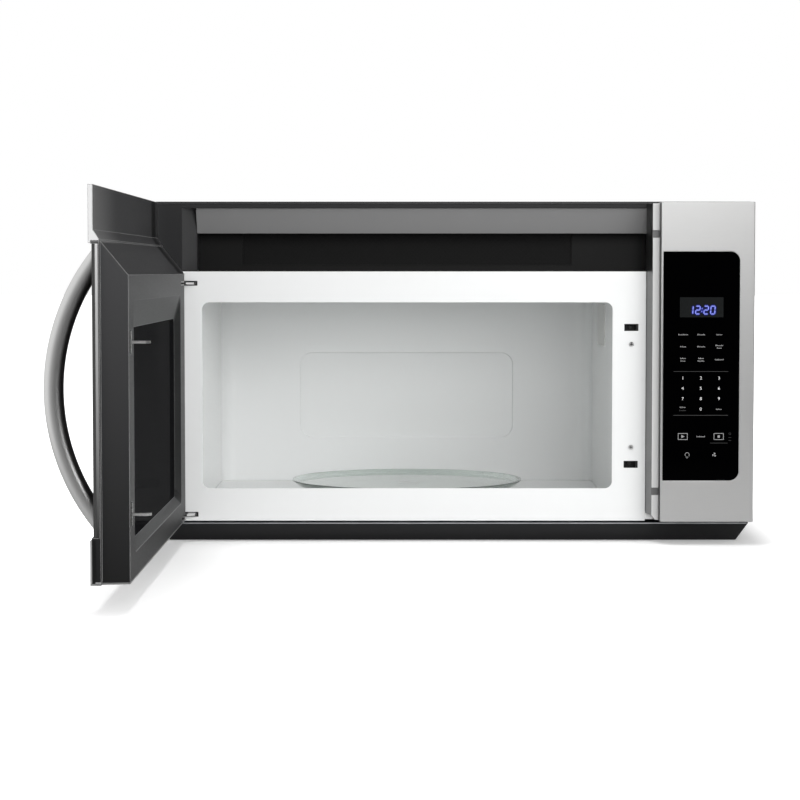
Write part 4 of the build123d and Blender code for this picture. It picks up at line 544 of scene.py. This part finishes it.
def soften(name, width):
    """Rounds a node's sharp edges by a width in millimetres; its own mesh stays."""
    weld = nodes[name].modifiers.new("weld", "WELD")
    weld.merge_threshold = WELD_REACH * MM
    bevel = nodes[name].modifiers.new("soft_edges", "BEVEL")
    bevel.width = width * MM
    bevel.segments = 2
    bevel.limit_method = "ANGLE"
    bevel.angle_limit = math.radians(SHARP_ANGLE)
    bevel.harden_normals = True
    bevel.miter_outer = "MITER_ARC"


for name, width in (
    ("control_bezel", 0.9),
    ("door_top_trim", 0.4),
    ("door_bottom_trim", 0.4),
    ("panel_side_trim", 0.5),
    ("door_body", 0.3),
    ("door_glass", 0.4),
    ("inner_pane", 0.3),
    ("touch_glass", 0.25),
    ("vent_frame", 0.4),
    ("vent_deflector", 0.3),
    ("base_pan", 0.4),
    ("glass_tray", 0.6),
    ("door_latch", 0.2),
    ("hinge_brackets", 0.3),
):
    soften(name, width)


# ------------------------------------------------------------------ printed panel
glass_low, glass_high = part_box("touch_glass")
PRINT_SKIN = 0.05
PRINT_LIFT = 0.02


def solid_piece(name, look, body, mesh):
    """A closed mesh as a piece of its own that rides on a body."""
    mesh.materials.append(look)
    made = bpy.data.objects.new(name, mesh)
    scene.collection.objects.link(made)
    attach(made, body)


def prints(name, outlines, look, lift=PRINT_LIFT):
    """Thin prisms on the touch glass; an outline is (across, down) in mm from its top left."""
    mesh = bpy.data.meshes.new(name)
    build = bmesh.new()
    front = glass_low.y - (lift + PRINT_SKIN) * MM
    for outline in outlines:
        loops = []
        for y in (front, front + PRINT_SKIN * MM):
            loops.append([
                build.verts.new((glass_low.x + a * MM, y, glass_high.z - d * MM))
                for a, d in outline
            ])
        build.faces.new(loops[0])
        build.faces.new(reversed(loops[1]))
        for i in range(len(outline)):
            j = (i + 1) % len(outline)
            build.faces.new((loops[0][j], loops[0][i], loops[1][i], loops[1][j]))
    bmesh.ops.recalc_face_normals(build, faces=build.faces)
    build.to_mesh(mesh)
    build.free()
    solid_piece(name, look, "cabinet", mesh)


def bar(a0, a1, d0, d1):
    """A rectangle from a0 to a1 across and from d0 to d1 down."""
    return [(a0, d0), (a1, d0), (a1, d1), (a0, d1)]


def frame_bars(a0, a1, d0, d1, line):
    """The outline of such a rectangle, as four bars of that line width."""
    return [
        bar(a0, a1, d0, d0 + line),
        bar(a0, a1, d1 - line, d1),
        bar(a0, a0 + line, d0 + line, d1 - line),
        bar(a1 - line, a1, d0 + line, d1 - line),
    ]


def ring_bars(a, d, radius, line, start=0.0, sweep=360.0, count=16):
    """A ring, or part of one, as a run of short bars."""
    made = []
    for i in range(count):
        corners = []
        for turn, reach in ((i, radius), (i + 1, radius), (i + 1, radius - line), (i, radius - line)):
            angle = math.radians(start + sweep * turn / count)
            corners.append((a + reach * math.cos(angle), d + reach * math.sin(angle)))
        made.append(corners)
    return made


def word(a, d, width, height=1.7):
    """A plain row of letter-sized strokes in place of a label, centred on (a, d)."""
    pitch = 1.25
    stroke = 0.7
    count = max(2, round(width / pitch))
    left = a - (count * pitch - (pitch - stroke)) / 2
    strokes = []
    for i in range(count):
        # The first stroke is tall, and so is one in five at places that differ from word to word.
        tall = i == 0 or (i * 7 + count) % 5 == 0
        top = d - height / 2 if tall else d - height / 6
        strokes.append(bar(left + i * pitch, left + i * pitch + stroke, top, d + height / 2))
    return strokes


# Places on the glass: columns across, rows down, keys as in bar(), icons by their centre.
COLUMNS = (24.8, 47.7, 70.7)
KEY_ROWS = (159.8, 172.9, 186.0, 199.1)
LINE_ENDS = (12.9, 82.4)
FINE_LINE = 0.6
START_KEY = (19.1, 31.3, 229.6, 238.0)
STOP_KEY = (64.5, 77.1, 229.6, 238.0)
KEY_LINE = 0.7
LAMP_ICON = (30.9, 257.0)
FAN_ICON = (65.3, 257.0)
# Each label is a column, a place down the glass and a width.
LABELS = (
    (0, 104.6, 12.0), (1, 104.6, 10.0), (2, 104.6, 7.5),
    (0, 119.8, 8.0), (1, 119.8, 10.5), (2, 118.3, 10.5), (2, 121.5, 6.0),
    (0, 134.6, 7.5), (0, 137.9, 6.5), (1, 134.6, 7.5), (1, 137.9, 9.0), (2, 136.2, 11.0),
    (0, 196.6, 8.0), (2, 199.1, 8.0),
)
label_look = plastic("label_print", grey(0.30), 0.5)
white_look = plastic("numeral_print", grey(0.80), 0.5)
dim_look = plastic("line_print", grey(0.022), 0.5)
window_look = gloss_black("display_window", (0.011, 0.012, 0.012), 0.08, 0.1)

label_strokes = []
for column, down, width in LABELS:
    label_strokes += word(COLUMNS[column], down, width)
label_strokes += word(48.0, 233.8, 11.0)
prints("panel_labels", label_strokes, label_look)

line_bars = [
    bar(*LINE_ENDS, 151.0, 151.0 + FINE_LINE),
    bar(*LINE_ENDS, 206.5, 207.3),
    bar(60.0, 82.0, 241.8, 241.8 + FINE_LINE),
    bar(83.2, 86.6, 234.8, 234.8 + FINE_LINE),
    bar(83.2, 86.6, 238.5, 238.5 + FINE_LINE),
]
line_bars += word(24.8, 200.6, 9.0)
line_bars += ring_bars(84.9, 230.3, 1.5, 0.4)
prints("panel_lines", line_bars, dim_look)

icon_bars = frame_bars(*START_KEY, KEY_LINE)
icon_bars.append([(23.4, 231.7), (27.6, 233.8), (23.4, 235.9)])
icon_bars += frame_bars(*STOP_KEY, KEY_LINE)
icon_bars.append(bar(69.4, 72.2, 232.4, 235.2))
icon_bars += ring_bars(*LAMP_ICON, 3.0, FINE_LINE, 140, 260)
icon_bars.append(bar(29.5, 32.3, 259.6, 260.2))
icon_bars.append(bar(30.1, 31.7, 260.9, 261.4))
for turn in range(3):
    blade = []
    for angle, reach in ((0, 0.5), (20, 3.0), (75, 2.6), (70, 0.6)):
        turned = math.radians(angle + 120 * turn)
        blade.append((FAN_ICON[0] + reach * math.cos(turned), FAN_ICON[1] + reach * math.sin(turned)))
    icon_bars.append(blade)
prints("panel_icons", icon_bars, label_look)


def numerals(name, height, look):
    """The keypad's digits, laid out in three columns with 0 in the middle of the last row."""
    size_per_height = 1.4
    same_point = 1e-6
    mesh = bpy.data.meshes.new(name)
    build = bmesh.new()
    places = [(str(i + 1), COLUMNS[i % 3], KEY_ROWS[i // 3]) for i in range(9)]
    places.append(("0", COLUMNS[1], KEY_ROWS[3]))
    for text, across, down in places:
        curve = bpy.data.curves.new(f"digit_{text}", "FONT")
        curve.body = text
        curve.size = height * MM * size_per_height
        curve.align_x = "CENTER"
        curve.align_y = "CENTER"
        curve.extrude = PRINT_SKIN * MM / 2
        curve.resolution_u = 4
        letter = bpy.data.objects.new(curve.name, curve)
        shape = bpy.data.meshes.new_from_object(letter)
        place = Vector((
            glass_low.x + across * MM,
            glass_low.y - (PRINT_LIFT + PRINT_SKIN / 2) * MM,
            glass_high.z - down * MM,
        ))
        shape.transform(Matrix.Translation(place) @ Matrix.Rotation(math.pi / 2, 4, "X"))
        build.from_mesh(shape)
        bpy.data.meshes.remove(shape)
        bpy.data.objects.remove(letter)
    bmesh.ops.remove_doubles(build, verts=build.verts, dist=same_point)
    build.to_mesh(mesh)
    build.free()
    solid_piece(name, look, "cabinet", mesh)


numerals("panel_numerals", 3.9, white_look)

# ------------------------------------------------------------------ clock display
SEGMENTS = {
    "a": ((0, 0), (1, 0)), "b": ((1, 0), (1, 1)), "c": ((1, 1), (1, 2)),
    "d": ((0, 2), (1, 2)), "e": ((0, 1), (0, 2)), "f": ((0, 0), (0, 1)), "g": ((0, 1), (1, 1)),
}
LIT = {"0": "abcdef", "1": "bc", "2": "abged"}
DIGIT_WIDTH = 5.2
DIGIT_HEIGHT = 9.9
DIGIT_TOP = 68.6
DIGIT_SLANT = 0.06
CLOCK = (("1", 31.6), ("2", 40.4), ("2", 50.9), ("0", 59.4))
COLON_MIDDLE = 48.2
COLON_DOTS = (3.2, 6.8)
WINDOW = (20.6, 75.6, 57.4, 82.7)


def segment(start, end, thick, inset):
    """One bar of a digit with pointed ends, which stop an inset short of its corners."""
    x0, y0 = start
    x1, y1 = end
    along_x, along_y = x1 - x0, y1 - y0
    length = math.hypot(along_x, along_y)
    ux, uy = along_x / length, along_y / length
    half = thick / 2
    points = []
    for distance, side in (
        (inset, 0), (inset + half, 1), (length - inset - half, 1),
        (length - inset, 0), (length - inset - half, -1), (inset + half, -1),
    ):
        points.append((x0 + ux * distance - uy * side * half, y0 + uy * distance + ux * side * half))
    return points


def clock_outlines(thick, inset):
    """The lit segments of the clock's four digits, and the two dots between them."""
    outlines = []
    for text, left in CLOCK:
        for key in LIT[text]:
            ends = []
            for column, row in SEGMENTS[key]:
                down = row * DIGIT_HEIGHT / 2
                lean = DIGIT_SLANT * (DIGIT_HEIGHT - down)
                ends.append((left + column * DIGIT_WIDTH + lean, DIGIT_TOP + down))
            outlines.append(segment(ends[0], ends[1], thick, inset))
    for down in COLON_DOTS:
        middle = COLON_MIDDLE + DIGIT_SLANT * (DIGIT_HEIGHT - down)
        half = thick / 2
        outlines.append(bar(middle - half, middle + half,
                            DIGIT_TOP + down - half, DIGIT_TOP + down + half))
    return outlines


def lit(name, colour, strength):
    """Black material that glows in a colour."""
    look = Look(name, (0, 0, 0), 0.5)
    look.shader.inputs["Emission Color"].default_value = tuple(colour) + (1,)
    look.shader.inputs["Emission Strength"].default_value = strength
    return look.mat


prints("display_window", [bar(*WINDOW)], window_look, 0.0)
prints("display_glow", clock_outlines(3.4, -0.8), lit("glow", (0.004, 0.009, 0.23), 1.0),
       PRINT_SKIN + 0.01)
prints("display_digits", clock_outlines(0.85, 0.3), lit("digits", (0.33, 0.39, 1.0), 1.35),
       2 * PRINT_SKIN + 0.02)

# ------------------------------------------------------------------ small fittings
plate_low, plate_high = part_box("front_plate")
screws_low, screws_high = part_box("latch_board_screws")


def box_mesh(name, boxes):
    """Closed boxes, each ((x0, x1), (y0, y1), (z0, z1)) in metres."""
    mesh = bpy.data.meshes.new(name)
    build = bmesh.new()
    for (x0, x1), (y0, y1), (z0, z1) in boxes:
        place = Matrix.Translation(((x0 + x1) / 2, (y0 + y1) / 2, (z0 + z1) / 2))
        size = Matrix.Diagonal((x1 - x0, y1 - y0, z1 - z0, 1))
        bmesh.ops.create_cube(build, size=1.0, matrix=place @ size)
    build.to_mesh(mesh)
    build.free()
    return mesh


def cross_recesses():
    """The dark cross in each head of the latch board's two screws, painted shade where the cross
    recesses lie.
    """
    centre_x = (screws_low.x + screws_high.x) / 2
    head = (screws_high.x - screws_low.x) / 2
    front = screws_low.y - 0.03 * MM
    thickness = 0.1 * MM
    arm = 1.7 * MM
    half = 0.35 * MM
    boxes = []
    for z in (screws_low.z + head, screws_high.z - head):
        for reach_x, reach_z in ((arm, half), (half, arm)):
            boxes.append((
                (centre_x - reach_x, centre_x + reach_x),
                (front, front + thickness),
                (z - reach_z, z + reach_z),
            ))
    return boxes


solid_piece("latch_screw_recesses", looks["screen_steel"], "cabinet",
            box_mesh("latch_screw_recesses", cross_recesses()))

# The enamel tab that goes on from the plate under the side trim's foot.
TAB_REACH = 10 * MM
TAB_SHEET = 1.2 * MM
TAB_INSET = 2 * MM
TAB_COVER = 8 * MM
trim_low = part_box("panel_side_trim")[0]
solid_piece("plate_foot", looks["white_enamel"], "cabinet", box_mesh("plate_foot", [(
    (plate_high.x, trim_low.x + TAB_REACH),
    (plate_low.y, plate_low.y + TAB_SHEET),
    (plate_low.z + TAB_INSET, trim_low.z + TAB_COVER),
)]))

lamp_low, lamp_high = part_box("cavity_lamp")
ceiling_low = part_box("cavity_ceiling")[0]


def lamp_holes():
    """The ceiling's small round holes under the cavity lamp, as dark discs of painted shade."""
    mesh = bpy.data.meshes.new("lamp_holes")
    build = bmesh.new()
    centre = (lamp_low + lamp_high) / 2
    middle_z = ceiling_low.z - 0.03 * MM
    thickness = 0.1 * MM
    radius = 1.7 * MM
    pitch = 6.0 * MM
    row_share = 0.87
    for row in range(-2, 3):
        for column in range(-3, 4):
            shift = 0.5 * (row % 2)
            place = (centre.x + (column + shift) * pitch, centre.y + row * pitch * row_share, middle_z)
            bmesh.ops.create_cone(build, cap_ends=True, segments=14, radius1=radius,
                                  radius2=radius, depth=thickness,
                                  matrix=Matrix.Translation(place))
    build.to_mesh(mesh)
    build.free()
    return mesh


solid_piece("lamp_holes", looks["screen_steel"], "cabinet", lamp_holes())


# ------------------------------------------------------------------ stage, light, camera
FLOOR_SIZE = 60.0
FLOOR_DROP = 0.0005
FLOOR_LIFT = 0.16
FLOOR_IN_METAL = 0.52
# Distances from the middle, in metres, over which the floor becomes as bright as the background. This
# glow, grown with distance and beside the object, is painted light that lifts the cast shadows there.
BRIGHT_FROM = 0.5
BRIGHT_TO = 2.5
BESIDE_FROM = 0.385
BESIDE_TO = 0.45
# Distances over which the floor that metal sees gives way to the room.
ROOM_FROM = 0.8
ROOM_TO = 1.6


def floor_look():
    """White floor: bright as the background where the camera sees it away from the object,
    plain for matt surfaces, and for metal a greyer patch that gives way to the room."""
    look = Look("floor", grey(0.95), 1.0)
    rays = look.node("ShaderNodeLightPath")
    length = look.node("ShaderNodeVectorMath", operation="LENGTH")
    look.link(look.coords, length.inputs[0])
    lift = look.node("ShaderNodeEmission")
    by_distance = look.ramp(length.outputs["Value"], FLOOR_LIFT, 1.0, BRIGHT_FROM, BRIGHT_TO)
    # painted light: beside the object's sides the floor glows brighter, which lifts its cast shadows
    beside = look.maths("ABSOLUTE", look.place("X"))
    by_side = look.ramp(beside, FLOOR_LIFT, 1.0, BESIDE_FROM, BESIDE_TO)
    look.link(look.maths("MAXIMUM", by_distance, by_side), lift.inputs["Strength"])
    plain = look.node("ShaderNodeBsdfDiffuse")
    plain.inputs["Color"].default_value = grey(0.80) + (1,)
    seen = look.node("ShaderNodeBsdfDiffuse")
    seen.inputs["Color"].default_value = look.colour
    near = look.node("ShaderNodeBsdfDiffuse")
    near.inputs["Color"].default_value = grey(FLOOR_IN_METAL) + (1,)
    far = look.node("ShaderNodeBsdfTransparent")
    mirrored = look.node("ShaderNodeMixShader")
    outward = look.ramp(length.outputs["Value"], 0.0, 1.0, ROOM_FROM, ROOM_TO)
    look.link(outward, mirrored.inputs["Fac"])
    look.link(near.outputs[0], mirrored.inputs[1])
    look.link(far.outputs[0], mirrored.inputs[2])
    both = look.node("ShaderNodeAddShader")
    look.link(seen.outputs[0], both.inputs[0])
    look.link(lift.outputs[0], both.inputs[1])
    in_metal = look.node("ShaderNodeMixShader")
    look.link(rays.outputs["Is Glossy Ray"], in_metal.inputs["Fac"])
    look.link(plain.outputs[0], in_metal.inputs[1])
    look.link(mirrored.outputs[0], in_metal.inputs[2])
    choose = look.node("ShaderNodeMixShader")
    look.link(rays.outputs["Is Camera Ray"], choose.inputs["Fac"])
    look.link(in_metal.outputs[0], choose.inputs[1])
    look.link(both.outputs[0], choose.inputs[2])
    look.link(choose.outputs[0], look.tree.nodes["Material Output"].inputs["Surface"])
    return look.mat


bpy.ops.mesh.primitive_plane_add(size=FLOOR_SIZE, location=(0, 0, -FLOOR_DROP))
floor = bpy.context.object
floor.name = "floor"
floor.data.materials.append(floor_look())


def studio_world():
    """White for the camera and through glass, even light for matt surfaces, and for metal a room
    that is brighter above and to the left."""
    bright_side = Vector((-0.85, -0.05, 0.5))
    world = bpy.data.worlds.new("studio")
    world.use_nodes = True
    tree = world.node_tree
    link = tree.links.new
    even = tree.nodes["Background"]
    even.inputs["Color"].default_value = (1, 1, 1, 1)
    even.inputs["Strength"].default_value = 0.55
    room = tree.nodes.new("ShaderNodeBackground")
    direction = tree.nodes.new("ShaderNodeTexCoord")
    facing = tree.nodes.new("ShaderNodeVectorMath")
    facing.operation = "DOT_PRODUCT"
    facing.inputs[1].default_value = bright_side.normalized()
    link(direction.outputs["Generated"], facing.inputs[0])
    shade = tree.nodes.new("ShaderNodeMapRange")
    shade.interpolation_type = "SMOOTHSTEP"
    shade.inputs["From Min"].default_value = -0.12
    shade.inputs["From Max"].default_value = 0.80
    shade.inputs["To Min"].default_value = 0.09
    shade.inputs["To Max"].default_value = 1.32
    link(facing.outputs["Value"], shade.inputs["Value"])
    link(shade.outputs["Result"], room.inputs["Strength"])
    white = tree.nodes.new("ShaderNodeBackground")
    white.inputs["Color"].default_value = (1, 1, 1, 1)
    white.inputs["Strength"].default_value = 1.0
    rays = tree.nodes.new("ShaderNodeLightPath")
    in_metal = tree.nodes.new("ShaderNodeMixShader")
    link(rays.outputs["Is Glossy Ray"], in_metal.inputs["Fac"])
    link(even.outputs[0], in_metal.inputs[1])
    link(room.outputs[0], in_metal.inputs[2])
    direct = tree.nodes.new("ShaderNodeMath")
    direct.operation = "MAXIMUM"
    link(rays.outputs["Is Camera Ray"], direct.inputs[0])
    link(rays.outputs["Is Transmission Ray"], direct.inputs[1])
    choose = tree.nodes.new("ShaderNodeMixShader")
    link(direct.outputs[0], choose.inputs["Fac"])
    link(in_metal.outputs[0], choose.inputs[1])
    link(white.outputs[0], choose.inputs[2])
    link(choose.outputs[0], tree.nodes["World Output"].inputs["Surface"])
    return world


scene.world = studio_world()


def softbox(name, place, aim, width, height, power, on_matt=True, in_metal=False):
    """A rectangular lamp in watts that faces its aim, seen by matt surfaces or by metal."""
    light = bpy.data.lights.new(name, "AREA")
    light.shape = "RECTANGLE"
    light.size = width
    light.size_y = height
    light.energy = power
    lamp = bpy.data.objects.new(name, light)
    lamp.location = place
    lamp.rotation_euler = (Vector(aim) - Vector(place)).to_track_quat("-Z", "Y").to_euler()
    lamp.visible_camera = False
    lamp.visible_diffuse = on_matt
    lamp.visible_glossy = in_metal
    scene.collection.objects.link(lamp)


cavity_low, cavity_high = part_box("cavity_walls")
cavity_x = (cavity_low.x + cavity_high.x) / 2
cavity_y = (cavity_low.y + cavity_high.y) / 2
under_ceiling = ceiling_low.z - 2 * MM
softbox("top_light", place=(-0.45, -0.15, 2.8), aim=(-0.1, -0.15, 0),
        width=1.0, height=1.0, power=42)
softbox("wide_light", place=(0.35, -3.3, 0.8), aim=(-0.1, -0.2, 0.2),
        width=1.6, height=1.2, power=24)
softbox("right_light", place=(1.6, -2.5, 1.0), aim=(-0.3, -0.2, 0.2),
        width=1.4, height=1.2, power=24)
softbox("oven_light", place=(cavity_x, cavity_y, under_ceiling), aim=(cavity_x, cavity_y, 0),
        width=0.30, height=0.22, power=0.055)
softbox("metal_light", place=(0.45, -2.6, 1.02), aim=(0.35, -0.2, 0.3),
        width=0.8, height=0.9, power=9.5, on_matt=False, in_metal=True)

# The camera was fitted to the photograph; it looks 3 degrees down.
CAMERA_PLACE = (-0.06805, -3.18083, 0.34737)
CAMERA_TILT = 86.857
camera_data = bpy.data.cameras.new("camera")
camera_data.sensor_width = 36.0
camera_data.lens = 105.88
camera = bpy.data.objects.new("camera", camera_data)
camera.location = CAMERA_PLACE
camera.rotation_euler = (math.radians(CAMERA_TILT), 0, 0)
scene.collection.objects.link(camera)
scene.camera = camera

scene.view_settings.view_transform = "Standard"
